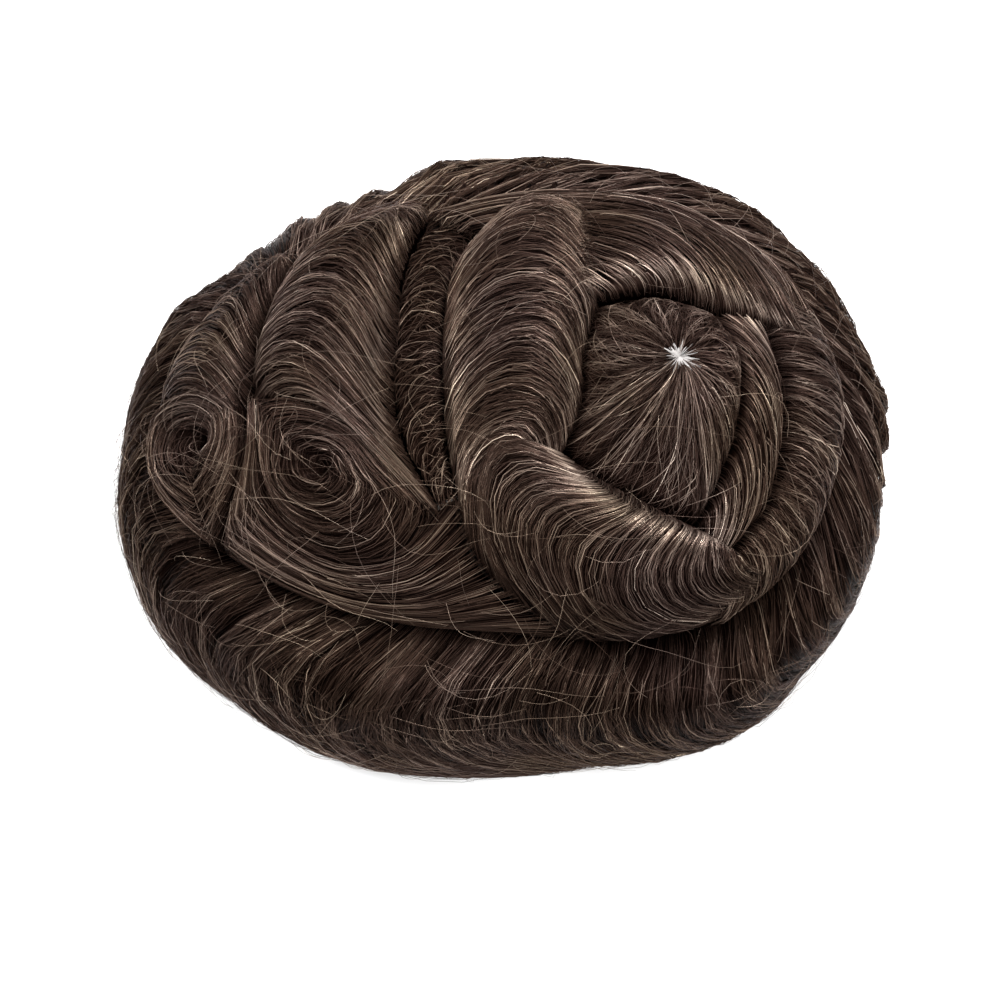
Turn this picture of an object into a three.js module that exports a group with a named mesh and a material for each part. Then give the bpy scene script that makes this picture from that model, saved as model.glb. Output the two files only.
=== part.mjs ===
// Toupee hairpiece, in millimetres, +Z up.
// A thin skin base is shaped to the top of the head. Long hair is rooted all over it and is combed into
// waves, curls and a roll along the rim, pressed flat by the hairnet it came out of.
// It rests on the plane z = 0, open side down. The front hairline is towards -X, the crown whorl towards +X.
import * as THREE from "three";

// Skin base
const skinLength = 198;
const skinWidth = 156;
const skinHeight = 65;
const skinThickness = 1.2;
const skinRimHeight = 4; // the hair is curled under the skin's edge by this much
const skinFullness = 2.5; // superellipse power of the skin's profile from crown to rim

// Hair
const endHairDepth = 16.8; // hair over the skin at the front and the back
const sideHairDepth = 16;
const topHairDepth = 17;
const hairFullness = 2.9;
const backFlare = 0.079; // how much broader the back is than the middle, as a share of the width
const rimLockBow = 7; // degrees by which the rim hair swings forwards below the groove
const rimLockDrift = 6; // degrees by which its ends lie behind its roots
const rimLockTuck = 0.14; // share of the hair's depth by which its ends are turned in

// Clearances
const seamGap = 0.8; // between two neighbouring locks
const rootGap = 1.0; // between the skin and the locks

// Facets
const skinSectors = 44;
const skinRings = 10;
const profileSteps = 200;
const rimLockFacets = { along: 9, across: 7 };

const { lerp, clamp, degToRad, radToDeg } = THREE.MathUtils;

// Half sizes of a dome along X and Y, its height and the power of its profile.
const skinOuter = { x: skinLength / 2, y: skinWidth / 2, z: skinHeight, power: skinFullness };
const skinInner = {
  x: skinOuter.x - skinThickness,
  y: skinOuter.y - skinThickness,
  z: skinOuter.z - skinThickness,
  power: skinFullness,
};
const hairOuter = {
  x: skinOuter.x + endHairDepth,
  y: skinOuter.y + sideHairDepth,
  z: skinOuter.z + topHairDepth,
  power: hairFullness,
};

// A point of a dome. The polar angle runs from 0 at the top to a right angle at the rim.
function domePoint(dome, azimuth, polar) {
  const reach = Math.sin(polar) ** (2 / dome.power);
  const flare = 1 + backFlare * Math.cos(azimuth);
  return new THREE.Vector3(
    dome.x * Math.cos(azimuth) * reach,
    dome.y * Math.sin(azimuth) * reach * flare,
    dome.z * Math.max(Math.cos(polar), 0) ** (2 / dome.power),
  );
}

// The polar angle at which a dome is at a height.
function polarAtHeight(dome, height) {
  return Math.acos((height / dome.z) ** (dome.power / 2));
}

// The hair's profile from the top to the rim, as rows of polar angle and arc length.
function hairProfile() {
  const meanRadius = (hairOuter.x + hairOuter.y) / 2;
  const rows = [{ polar: 0, arc: 0, radius: 0, height: hairOuter.z }];
  for (let step = 1; step <= profileSteps; step++) {
    const last = rows[step - 1];
    const polar = (step / profileSteps) * (Math.PI / 2);
    const radius = meanRadius * Math.sin(polar) ** (2 / hairOuter.power);
    const height = hairOuter.z * Math.max(Math.cos(polar), 0) ** (2 / hairOuter.power);
    const arc = last.arc + Math.hypot(radius - last.radius, height - last.height);
    rows.push({ polar, arc, radius, height });
  }
  return rows;
}

const profile = hairProfile();
const mapScale = profile[profileSteps].arc; // millimetres of hair surface to one unit of the map

function polarAtShare(share) {
  const arc = clamp(share, 0, 1) * mapScale;
  const row = Math.max(profile.findIndex((entry) => entry.arc >= arc), 1);
  const before = profile[row - 1];
  const after = profile[row];
  return lerp(before.polar, after.polar, (arc - before.arc) / (after.arc - before.arc));
}

// The map is the hair's surface laid flat. A place [u, v] in it is a direction from the top of the dome
// times the share of the way to the rim. The rise is the share of the hair's depth: 0 is on the skin
// and 1 on the hair's full outline.
function mapPoint([u, v], rise) {
  const azimuth = Math.atan2(v, u);
  const polar = polarAtShare(Math.hypot(u, v));
  return domePoint(skinOuter, azimuth, polar).lerp(domePoint(hairOuter, azimuth, polar), rise);
}

function rootPoint(place) {
  const depth = mapPoint(place, 0).distanceTo(mapPoint(place, 1));
  return mapPoint(place, rootGap / depth);
}

// The groove between the hair on top and the roll along the rim: its share of the way to the rim,
// by azimuth in degrees.
const grooveTable = [
  { azimuth: 0, share: 0.65 },
  { azimuth: 25, share: 0.65 },
  { azimuth: 50, share: 0.59 },
  { azimuth: 75, share: 0.53 },
  { azimuth: 105, share: 0.53 },
  { azimuth: 130, share: 0.6 },
  { azimuth: 155, share: 0.67 },
  { azimuth: 180, share: 0.69 },
  { azimuth: 205, share: 0.63 },
  { azimuth: 230, share: 0.59 },
  { azimuth: 265, share: 0.565 },
  { azimuth: 290, share: 0.63 },
  { azimuth: 310, share: 0.665 },
  { azimuth: 335, share: 0.65 },
];

// A row of the groove table, counted on past its ends by whole turns.
function grooveRow(index) {
  const count = grooveTable.length;
  const { azimuth, share } = grooveTable[((index % count) + count) % count];
  return { azimuth: azimuth + 360 * Math.floor(index / count), share };
}

function grooveShare(azimuth) {
  const turn = ((azimuth % 360) + 360) % 360;
  const row = grooveTable.findLastIndex((entry) => entry.azimuth <= turn);
  const [before, start, end, after] = [row - 1, row, row + 1, row + 2].map(grooveRow);
  const span = end.azimuth - start.azimuth;
  const startSlope = ((end.share - before.share) / (end.azimuth - before.azimuth)) * span;
  const endSlope = ((after.share - start.share) / (after.azimuth - start.azimuth)) * span;
  const t = (turn - start.azimuth) / span;
  const bend = startSlope + endSlope - 2 * (end.share - start.share);
  const curve = 3 * (end.share - start.share) - 2 * startSlope - endSlope;
  return start.share + t * (startSlope + t * (curve + t * bend));
}

function polarPlace(azimuth, share) {
  return [share * Math.cos(degToRad(azimuth)), share * Math.sin(degToRad(azimuth))];
}

// Azimuths at which seams between locks run into the groove.
const grooveStops = {
  backTop: 8,
  partingTop: 99,
  waveTop: 125,
  rollTop: 131,
  curlTop: 167,
  curlFoot: 207,
  waveFoot: 276,
  backFoot: 308,
};

// Places in the map at which seams meet.
const innerStops = {
  knot: [-0.46, 0.045],
  knotInner: [-0.425, 0.05],
  valleyTip: [-0.145, -0.29],
  valleyTipBack: [-0.11, -0.275],
  crestTop: [0.0, 0.4],
  crestTopBack: [0.2, 0.43],
  whorlTop: [0.19, 0.155],
  whorlSide: [0.09, -0.19],
  whorlFoot: [0.31, -0.36],
  whorlTopBack: [0.4, 0.115],
  twistFoot: [0.35, -0.42],
  twistTop: [0.49, 0.09],
  backTopInner: [0.58, 0.1],
};

function stopPlace(name) {
  return name in grooveStops ? polarPlace(grooveStops[name], grooveShare(grooveStops[name])) : innerStops[name];
}

// The seams between locks, each from one stop to another by way of the places between them.
const seamTable = {
  waveFront: { from: "waveTop", via: [[-0.4, 0.32], [-0.437, 0.19]], to: "knot" },
  rollFoot: { from: "knot", via: [[-0.52, 0.13], [-0.6, 0.165]], to: "curlTop" },
  curlBack: { from: "knot", via: [[-0.475, -0.12]], to: "curlFoot" },
  knotWidth: { from: "knot", via: [], to: "knotInner" },
  waveEnd: { from: "knotInner", via: [[-0.35, 0.025], [-0.27, -0.06], [-0.215, -0.17]], to: "valleyTip" },
  waveBack: { from: "partingTop", via: [[-0.145, 0.37], [-0.18, 0.2], [-0.205, 0.04], [-0.2, -0.12]], to: "valleyTip" },
  partingHead: { from: "partingTop", via: [], to: "crestTop" },
  valleyEnd: { from: "valleyTip", via: [], to: "valleyTipBack" },
  crestFront: { from: "crestTop", via: [[-0.065, 0.3], [-0.1, 0.15], [-0.115, 0.0], [-0.12, -0.15]], to: "valleyTipBack" },
  crestHead: { from: "crestTop", via: [[0.09, 0.425]], to: "crestTopBack" },
  crestBack: { from: "crestTopBack", via: [[0.205, 0.29]], to: "whorlTop" },
  crestEnd: { from: "valleyTipBack", via: [[-0.06, -0.19], [0.01, -0.155]], to: "whorlSide" },
  whorlFront: { from: "whorlTop", via: [[0.155, 0.04], [0.135, -0.08]], to: "whorlSide" },
  whorlLow: { from: "whorlSide", via: [[0.15, -0.265], [0.23, -0.32]], to: "whorlFoot" },
  whorlBack: { from: "whorlTopBack", via: [[0.428, 0.0], [0.41, -0.14], [0.365, -0.26]], to: "whorlFoot" },
  whorlHead: { from: "whorlTop", via: [[0.3, 0.165]], to: "whorlTopBack" },
  lowerFront: { from: "valleyTipBack", via: [[-0.095, -0.39], [-0.045, -0.48]], to: "waveFoot" },
  lowerEnd: { from: "backFoot", via: [[0.385, -0.47]], to: "twistFoot" },
  twistFootWidth: { from: "twistFoot", via: [], to: "whorlFoot" },
  twistBack: { from: "twistTop", via: [[0.5, -0.03], [0.485, -0.17], [0.435, -0.31]], to: "twistFoot" },
  twistTopWidth: { from: "whorlTopBack", via: [], to: "twistTop" },
  backEnd: { from: "twistTop", via: [], to: "backTopInner" },
  backEndOuter: { from: "backTopInner", via: [], to: "backTop" },
  upperTop: { from: "crestTopBack", via: [[0.33, 0.42], [0.45, 0.35], [0.54, 0.24]], to: "backTopInner" },
  sweepInner: { from: "knotInner", via: [[-0.43, -0.12], [-0.4, -0.26], [-0.32, -0.36], [-0.22, -0.37]], to: "valleyTip" },
};

// A stretch of the groove between two of its stops, the short way round.
class GrooveCurve extends THREE.Curve {
  constructor(from, to) {
    super();
    this.start = grooveStops[from];
    this.turn = ((grooveStops[to] - this.start + 540) % 360) - 180;
  }

  getPoint(t, target = new THREE.Vector2()) {
    const azimuth = this.start + this.turn * t;
    return target.set(...polarPlace(azimuth, grooveShare(azimuth)));
  }
}

function seam(name) {
  const { from, via, to } = seamTable[name];
  const places = [stopPlace(from), ...via, stopPlace(to)];
  return new THREE.SplineCurve(places.map(([u, v]) => new THREE.Vector2(u, v)));
}

function seamBack(name) {
  return new THREE.SplineCurve(seam(name).points.reverse());
}

function groove(from, to) {
  return new GrooveCurve(from, to);
}

function mixPlaces(a, b, t) {
  return [lerp(a[0], b[0], t), lerp(a[1], b[1], t)];
}

// Places along curves laid end to end, in a given number of steps with every joint between curves kept.
function sidePlaces(curves, steps) {
  const lengths = curves.map((curve) => curve.getLength());
  const ends = lengths.map((_, index) => lengths.slice(0, index + 1).reduce((sum, part) => sum + part));
  const total = ends[ends.length - 1];
  const stops = ends.map((end, index) => {
    return clamp(Math.round((steps * end) / total), index + 1, steps - curves.length + index + 1);
  });
  const places = [curves[0].getPointAt(0)];
  curves.forEach((curve, index) => {
    const first = index === 0 ? 0 : stops[index - 1];
    const count = stops[index] - first;
    for (let step = 1; step <= count; step++) places.push(curve.getPointAt(step / count));
  });
  return places.map(({ x, y }) => [x, y]);
}

// How far the places of an end lie off the straight line between its corners.
function endBulge(places) {
  const last = places.length - 1;
  return places.map(([u, v], j) => {
    const straight = mixPlaces(places[0], places[last], j / last);
    return [u - straight[0], v - straight[1]];
  });
}

// A lock between two rails and two ends, as a grid of places. Rows are counted along it, columns across it.
// It is ruled from rail to rail, and each end's bulge dies away along it.
function bandGrid({ railA, railB, start, end, along, across }) {
  const sideA = sidePlaces(railA, along);
  const sideB = sidePlaces(railB, along);
  const startBulge = endBulge(sidePlaces(start, across));
  const finalBulge = endBulge(sidePlaces(end, across));
  return sideA.map((placeA, i) =>
    startBulge.map((bulge, j) => {
      const near = (1 - i / along) ** 3;
      const far = (i / along) ** 3;
      const [u, v] = mixPlaces(placeA, sideB[i], j / across);
      return [u + near * bulge[0] + far * finalBulge[j][0], v + near * bulge[1] + far * finalBulge[j][1]];
    }),
  );
}

// Half a seam gap at right angles to an edge, for each of its places, towards the places inside it.
function halfGapIn(edge, inside, closed) {
  const last = edge.length - 1;
  return edge.map((place, k) => {
    const before = k > 0 ? edge[k - 1] : edge[closed ? last : 0];
    const after = k < last ? edge[k + 1] : edge[closed ? 0 : last];
    const across = new THREE.Vector2(before[1] - after[1], after[0] - before[0]).normalize();
    const side = across.x * (inside[k][0] - place[0]) + across.y * (inside[k][1] - place[1]);
    return across.multiplyScalar((Math.sign(side) * seamGap) / 2 / mapScale);
  });
}

// Moves a corner inwards until it is half a seam gap from both edges that meet there.
function cornerIn(corner, nextAlong, nextAcross, inside) {
  const origin = new THREE.Vector2(...corner);
  const along = new THREE.Vector2(...nextAlong).sub(origin);
  const across = new THREE.Vector2(...nextAcross).sub(origin);
  const reach = seamGap / 2 / mapScale / Math.sin(along.angleTo(across) / 2);
  return mixPlaces(corner, inside, Math.min(reach / origin.distanceTo(new THREE.Vector2(...inside)), 0.45));
}

// Draws a band's four edges in by half a seam gap.
function insetBand(grid) {
  const last = grid.length - 1;
  const edge = grid[0].length - 1;
  const column = (j) => grid.map((row) => row[j]);
  const first = halfGapIn(grid[0], grid[1]);
  const final = halfGapIn(grid[last], grid[last - 1]);
  const sideA = halfGapIn(column(0), column(1));
  const sideB = halfGapIn(column(edge), column(edge - 1));
  const move = ([u, v], { x, y }) => [u + x, v + y];
  return grid.map((row, i) =>
    row.map((place, j) => {
      const innerRow = i === 0 ? 1 : last - 1;
      const innerColumn = j === 0 ? 1 : edge - 1;
      if ((i === 0 || i === last) && (j === 0 || j === edge)) {
        return cornerIn(place, grid[innerRow][j], row[innerColumn], grid[innerRow][innerColumn]);
      }
      if (i === 0) return move(place, first[j]);
      if (i === last) return move(place, final[j]);
      if (j === 0) return move(place, sideA[i]);
      if (j === edge) return move(place, sideB[i]);
      return place;
    }),
  );
}

// A round lock about its eye. Rows are counted round it, columns from the eye out to its edge.
function roundGrid({ eye, edge, around, out }) {
  const places = sidePlaces(edge, around).slice(0, around);
  const gaps = halfGapIn(places, places.map(() => eye), true);
  return places.map(([u, v], i) => {
    const rim = [u + gaps[i].x, v + gaps[i].y];
    return Array.from({ length: out }, (_, j) => mixPlaces(eye, rim, (j + 1) / out));
  });
}

// A lock of the roll along the rim, from the groove down to where it rests.
function rimGrid({ from, to, along, across }) {
  const halfGap = seamGap / 2 / mapScale;
  return Array.from({ length: along + 1 }, (_, i) =>
    Array.from({ length: across + 1 }, (_, j) => {
      const w = j / across;
      const gapTurn = radToDeg(halfGap / lerp(grooveShare((from + to) / 2), 1, w));
      const straight = lerp(from + gapTurn, to - gapTurn, i / along);
      const azimuth = straight - rimLockBow * Math.sin(Math.PI * w) + rimLockDrift * w ** 2;
      return polarPlace(azimuth, lerp(grooveShare(azimuth) + halfGap, 1, w));
    }),
  );
}

// A closed solid between an upper and a lower sheet of points. A ring's rows close on themselves, and
// with the two points of an eye it is filled in to the middle.
function sheetSolid(upper, lower, { ring = false, eye = [] } = {}) {
  const rows = upper.length;
  const columns = upper[0].length;
  const points = [...upper.flat(), ...lower.flat(), ...eye];
  const under = rows * columns;
  const at = (i, j) => (i % rows) * columns + j;
  const faces = [];
  const quad = (a, b, c, d) => faces.push([a, b, c], [a, c, d]);
  const wall = (a, b) => quad(a, b, b + under, a + under);
  const turnedWall = (a, b) => quad(b, b + under, a + under, a);
  for (let i = 0; i < (ring ? rows : rows - 1); i++) {
    for (let j = 0; j < columns - 1; j++) {
      quad(at(i, j), at(i, j + 1), at(i + 1, j + 1), at(i + 1, j));
      quad(at(i + 1, j) + under, at(i + 1, j + 1) + under, at(i, j + 1) + under, at(i, j) + under);
    }
    wall(at(i + 1, columns - 1), at(i, columns - 1));
    if (eye.length > 0) {
      faces.push([2 * under, at(i, 0), at(i + 1, 0)], [2 * under + 1, at(i + 1, 0) + under, at(i, 0) + under]);
    } else {
      wall(at(i, 0), at(i + 1, 0));
    }
  }
  for (let j = 0; j < columns - 1 && !ring; j++) {
    turnedWall(at(0, j + 1), at(0, j));
    wall(at(rows - 1, j), at(rows - 1, j + 1));
  }
  const volume = faces.reduce((sum, [a, b, c]) => {
    return sum + points[a].dot(new THREE.Vector3().crossVectors(points[b], points[c]));
  }, 0);
  const outward = volume < 0 ? faces.map(([a, b, c]) => [a, c, b]) : faces;
  const geometry = new THREE.BufferGeometry().setFromPoints(points);
  geometry.setIndex(outward.flat());
  return geometry;
}

// The rounded section of a lock: 0 at both edges and 1 at its crest.
function hump(w, crestAt) {
  const reach = w < crestAt ? (crestAt - w) / crestAt : (w - crestAt) / (1 - crestAt);
  return Math.sqrt(1 - Math.min(reach, 1) ** 2.2);
}

function bandRise({ edgeA, edgeB, crest, crestAt, endDrop }, t, w) {
  const edge = lerp(edgeA, edgeB, w);
  return edge + (crest - edge) * hump(w, crestAt) * (1 - endDrop * Math.abs(2 * t - 1) ** 4);
}

// A curl rises from its eye to a ring and falls to its edge.
function roundRise({ eyeRise, crest, crestAt, edgeRise }, w) {
  const low = w < crestAt ? eyeRise : edgeRise;
  return low + (crest - low) * hump(w, crestAt);
}

function rimRise(t, w) {
  const shoulder = Math.sin((Math.PI / 2) * Math.min(w / 0.4, 1));
  const tuck = rimLockTuck * Math.max((w - 0.7) / 0.3, 0) ** 2;
  return lerp(0.5, 1 - 0.12 * Math.abs(2 * t - 1) ** 3, shoulder) - tuck;
}

function gridShares(grid) {
  return grid.map((row, i) => row.map((_, j) => [i / (grid.length - 1), j / (row.length - 1)]));
}

function liftGrid(grid, rise) {
  const shares = gridShares(grid);
  return grid.map((row, i) => row.map((place, j) => mapPoint(place, rise(...shares[i][j]))));
}

function bandLock(lock) {
  const grid = insetBand(bandGrid(lock));
  const upper = liftGrid(grid, (t, w) => bandRise(lock, t, w));
  return sheetSolid(upper, grid.map((row) => row.map(rootPoint)));
}

function roundLock(lock) {
  const grid = roundGrid(lock);
  const upper = grid.map((row) => row.map((place, j) => mapPoint(place, roundRise(lock, (j + 1) / row.length))));
  const lower = grid.map((row) => row.map(rootPoint));
  return sheetSolid(upper, lower, { ring: true, eye: [mapPoint(lock.eye, lock.eyeRise), rootPoint(lock.eye)] });
}

function rimLock(lock) {
  const grid = rimGrid({ ...lock, ...rimLockFacets });
  return sheetSolid(liftGrid(grid, rimRise), grid.map((row) => row.map(rootPoint)));
}

function skinSheet(dome) {
  const rimPolar = polarAtHeight(dome, skinRimHeight);
  return Array.from({ length: skinSectors }, (_, i) =>
    Array.from({ length: skinRings }, (_, j) => {
      return domePoint(dome, (i / skinSectors) * 2 * Math.PI, ((j + 1) / skinRings) * rimPolar);
    }),
  );
}

function skinBase() {
  const eye = [domePoint(skinOuter, 0, 0), domePoint(skinInner, 0, 0)];
  return sheetSolid(skinSheet(skinOuter), skinSheet(skinInner), { ring: true, eye });
}

// Locks combed along two rails, with their rises at both rails and at the crest between them.
const bandLocks = {
  first_wave: {
    railA: [seam("waveFront")], railB: [seam("waveBack")],
    start: [groove("waveTop", "partingTop")], end: [seam("knotWidth"), seam("waveEnd")],
    along: 13, across: 8, edgeA: 0.5, edgeB: 0.62, crest: 1, crestAt: 0.55, endDrop: 0.25,
  },
  valley_lock: {
    railA: [seam("waveBack")], railB: [seam("crestFront")],
    start: [seam("partingHead")], end: [seam("valleyEnd")],
    along: 13, across: 3, edgeA: 0.5, edgeB: 0.5, crest: 0.58, crestAt: 0.5, endDrop: 0.2,
  },
  second_wave: {
    railA: [seam("crestFront")], railB: [seam("crestBack"), seam("whorlFront")],
    start: [seam("crestHead")], end: [seam("crestEnd")],
    along: 13, across: 8, edgeA: 0.5, edgeB: 0.6, crest: 1, crestAt: 0.5, endDrop: 0.2,
  },
  lower_wave: {
    railA: [seam("lowerFront"), groove("waveFoot", "backFoot")], railB: [seam("whorlLow")],
    start: [seam("crestEnd")], end: [seam("lowerEnd"), seam("twistFootWidth")],
    along: 12, across: 8, edgeA: 0.45, edgeB: 0.75, crest: 1, crestAt: 0.6, endDrop: 0.15,
  },
  back_twist: {
    railA: [seam("twistBack")], railB: [seam("whorlBack")],
    start: [seamBack("twistTopWidth")], end: [seam("twistFootWidth")],
    along: 12, across: 4, edgeA: 0.6, edgeB: 0.55, crest: 0.85, crestAt: 0.5, endDrop: 0.2,
  },
  back_roll: {
    railA: [groove("backTop", "backFoot")], railB: [seam("twistBack")],
    start: [seamBack("backEndOuter"), seamBack("backEnd")], end: [seam("lowerEnd")],
    along: 12, across: 6, edgeA: 0.5, edgeB: 0.6, crest: 1, crestAt: 0.5, endDrop: 0.25,
  },
  upper_wave: {
    railA: [seam("upperTop")], railB: [seam("whorlHead"), seam("twistTopWidth")],
    start: [seam("crestBack")], end: [seamBack("backEnd")],
    along: 11, across: 7, edgeA: 0.55, edgeB: 0.75, crest: 0.98, crestAt: 0.7, endDrop: 0.2,
  },
  top_layer: {
    railA: [groove("partingTop", "backTop")], railB: [seam("crestHead"), seam("upperTop")],
    start: [seam("partingHead")], end: [seamBack("backEndOuter")],
    along: 15, across: 3, edgeA: 0.5, edgeB: 0.55, crest: 0.8, crestAt: 0.45, endDrop: 0.2,
  },
  front_roll: {
    railA: [groove("rollTop", "curlTop")], railB: [seam("waveFront")],
    start: [groove("rollTop", "waveTop")], end: [seamBack("rollFoot")],
    along: 10, across: 6, edgeA: 0.5, edgeB: 0.5, crest: 0.95, crestAt: 0.45, endDrop: 0.15,
  },
  front_sweep: {
    railA: [seam("curlBack"), groove("curlFoot", "waveFoot")], railB: [seam("sweepInner")],
    start: [seam("knotWidth")], end: [seamBack("lowerFront"), seamBack("valleyEnd")],
    along: 20, across: 5, edgeA: 0.45, edgeB: 0.66, crest: 0.8, crestAt: 0.55, endDrop: 0.3,
  },
};

// Locks wound about an eye, with their rises there, at the ring round it and at their edge.
const roundLocks = {
  crown_whorl: {
    eye: [0.325, 0.02],
    edge: [seam("whorlHead"), seam("whorlBack"), seamBack("whorlLow"), seamBack("whorlFront")],
    around: 24, out: 5, eyeRise: 0.62, crest: 0.76, crestAt: 0.6, edgeRise: 0.55,
  },
  centre_curl: {
    eye: [-0.335, -0.15],
    edge: [seam("waveEnd"), seamBack("sweepInner")],
    around: 26, out: 5, eyeRise: 0.45, crest: 0.86, crestAt: 0.6, edgeRise: 0.6,
  },
  front_curl: {
    eye: [-0.55, 0.0],
    edge: [seam("rollFoot"), groove("curlTop", "curlFoot"), seamBack("curlBack")],
    around: 22, out: 4, eyeRise: 0.35, crest: 0.92, crestAt: 0.65, edgeRise: 0.5,
  },
};

// The roll along the rim, lock by lock between azimuths of the groove.
const rimLocks = {
  rim_lock_1: { from: 222, to: 274 },
  rim_lock_2: { from: 274, to: 312 },
  rim_lock_3: { from: 312, to: 353 },
  rim_lock_4: { from: 353, to: 397 },
  rim_lock_5: { from: 397, to: 441 },
  rim_lock_6: { from: 441, to: 486 },
  rim_lock_7: { from: 486, to: 534 },
  rim_lock_8: { from: 534, to: 582 },
};

const skinMaterial = new THREE.MeshStandardMaterial({ color: 0xe6ded4, roughness: 0.45, metalness: 0 });
const hairMaterial = new THREE.MeshStandardMaterial({ color: 0x33261f, roughness: 0.55, metalness: 0 });

const toupee = new THREE.Group();
toupee.name = "toupee";

function addNode(name, geometry, material) {
  const mesh = new THREE.Mesh(geometry, material);
  mesh.name = name;
  toupee.add(mesh);
}

addNode("skin_base", skinBase(), skinMaterial);
for (const [name, lock] of Object.entries(bandLocks)) addNode(name, bandLock(lock), hairMaterial);
for (const [name, lock] of Object.entries(roundLocks)) addNode(name, roundLock(lock), hairMaterial);
for (const [name, lock] of Object.entries(rimLocks)) addNode(name, rimLock(lock), hairMaterial);

export default toupee;
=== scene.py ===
"""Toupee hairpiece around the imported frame: combed hair, a skin film, a floor, lights and a camera.

The hair's surface is laid flat as a map. A place (u, v) in it is a direction from the top of the dome times the
share of the way to the rim. A rise is a share of the hair's depth: 0 on the skin, 1 on the hair's full outline.
Each lock is a patch of the map, and its hairs are combed over the patch.
"""
import logging
import math
from dataclasses import dataclass, field
from enum import Enum

import bpy
import numpy as np
from mathutils import Matrix, Vector


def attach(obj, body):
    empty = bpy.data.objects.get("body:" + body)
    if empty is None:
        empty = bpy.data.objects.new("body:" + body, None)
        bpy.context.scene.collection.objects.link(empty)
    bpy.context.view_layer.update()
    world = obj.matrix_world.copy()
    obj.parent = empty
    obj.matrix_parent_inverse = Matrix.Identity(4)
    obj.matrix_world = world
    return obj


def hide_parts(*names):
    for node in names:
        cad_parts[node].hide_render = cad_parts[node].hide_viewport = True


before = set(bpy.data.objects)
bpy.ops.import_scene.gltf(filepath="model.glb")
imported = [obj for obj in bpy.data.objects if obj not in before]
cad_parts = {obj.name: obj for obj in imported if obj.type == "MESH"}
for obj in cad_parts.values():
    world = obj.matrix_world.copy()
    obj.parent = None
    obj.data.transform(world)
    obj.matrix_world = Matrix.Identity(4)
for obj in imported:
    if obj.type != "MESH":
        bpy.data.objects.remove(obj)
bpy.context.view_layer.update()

logging.basicConfig(level=logging.INFO, format="%(message)s")
log = logging.getLogger("toupee")

MM = 0.001
BODY = "root"
LOWEST_HAIR = 0.4 * MM

Array = np.ndarray
Colour = tuple[float, float, float]
Stops = tuple[tuple[float, Colour], ...]
Parts = tuple[str | tuple[str, str], ...]


class Slot(Enum):
    """The part's material slots."""

    HAIR = "hair"
    SKIN = "skin_film"


# The shell between the skin and the hair's outline

@dataclass(frozen=True)
class Dome:
    """Half sizes of a dome in metres, and the power of its profile."""

    x: float
    y: float
    z: float
    power: float
    flare: float = 0.079

    def points(self, azimuth: Array, polar: Array) -> Array:
        """Points of the dome.

        Args:
            azimuth: Angles about the vertical, in radians.
            polar: Angles from the top, a right angle at the rim.

        Returns:
            Points, with the coordinates on the last axis.
        """
        reach = np.sin(polar) ** (2 / self.power)
        height = np.maximum(np.cos(polar), 0) ** (2 / self.power)
        broad = 1 + self.flare * np.cos(azimuth)
        return np.stack(
            [self.x * np.cos(azimuth) * reach, self.y * np.sin(azimuth) * reach * broad, self.z * height], axis=-1
        )

    def polar_at_height(self, height: float) -> float:
        """Polar angle at which the dome is at a height."""
        return math.acos((height / self.z) ** (self.power / 2))


@dataclass
class HairShell:
    """Room between the skin's dome and the hair's outline, addressed by map place and rise."""

    skin: Dome
    hair: Dome
    profile_steps: int = 400
    polars: Array = field(init=False)
    arcs: Array = field(init=False)

    def __post_init__(self) -> None:
        """Measures the hair's profile from the top to the rim."""
        self.polars = np.linspace(0, math.pi / 2, self.profile_steps + 1)
        radius = (self.hair.x + self.hair.y) / 2 * np.sin(self.polars) ** (2 / self.hair.power)
        height = self.hair.z * np.maximum(np.cos(self.polars), 0) ** (2 / self.hair.power)
        self.arcs = np.concatenate([[0], np.cumsum(np.hypot(np.diff(radius), np.diff(height)))])

    @property
    def map_scale(self) -> float:
        """Metres of hair surface to one unit of the map."""
        return float(self.arcs[-1])

    def lines(self, places: Array) -> tuple[Array, Array]:
        """Ends of the shell's depth lines.

        Args:
            places: Map places, with u and v on the last axis.

        Returns:
            Points on the skin's dome and on the hair's outline.
        """
        azimuth = np.arctan2(places[..., 1], places[..., 0])
        share = np.hypot(places[..., 0], places[..., 1])
        polar = np.interp(np.clip(share, 0, 1) * self.map_scale, self.arcs, self.polars)
        return self.skin.points(azimuth, polar), self.hair.points(azimuth, polar)

    def points(self, places: Array, rises: Array, lifts: Array | float = 0.0) -> Array:
        """Points of the shell.

        Args:
            places: Map places.
            rises: Shares of the hair's depth.
            lifts: Extra heights along the depth lines, in metres.

        Returns:
            Points, with the coordinates on the last axis.
        """
        inner, outer = self.lines(places)
        depth = np.linalg.norm(outer - inner, axis=-1)
        share = rises + lifts / depth
        return inner + (outer - inner) * share[..., None]


SKIN_THICKNESS = 1.2 * MM
SKIN_RIM_HEIGHT = 4 * MM
SKIN_OUTER = Dome(99 * MM, 78 * MM, 65 * MM, 2.5)
SKIN_INNER = Dome(99 * MM - SKIN_THICKNESS, 78 * MM - SKIN_THICKNESS, 65 * MM - SKIN_THICKNESS, 2.5)
HAIR_OUTER = Dome(115.8 * MM, 94 * MM, 82 * MM, 2.9)
SHELL = HairShell(SKIN_OUTER, HAIR_OUTER)


# Curves in the map

GROOVE_TABLE = (
    # azimuth in degrees, share of the way to the rim
    (0, 0.65), (25, 0.65), (50, 0.59), (75, 0.53), (105, 0.53), (130, 0.6), (155, 0.67),
    (180, 0.69), (205, 0.63), (230, 0.59), (265, 0.565), (290, 0.63), (310, 0.665), (335, 0.65),
)

GROOVE_STOPS = {
    "back_top": 8.0, "parting_top": 99.0, "wave_top": 125.0, "roll_top": 131.0,
    "curl_top": 167.0, "curl_foot": 207.0, "wave_foot": 276.0, "back_foot": 308.0,
}

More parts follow.
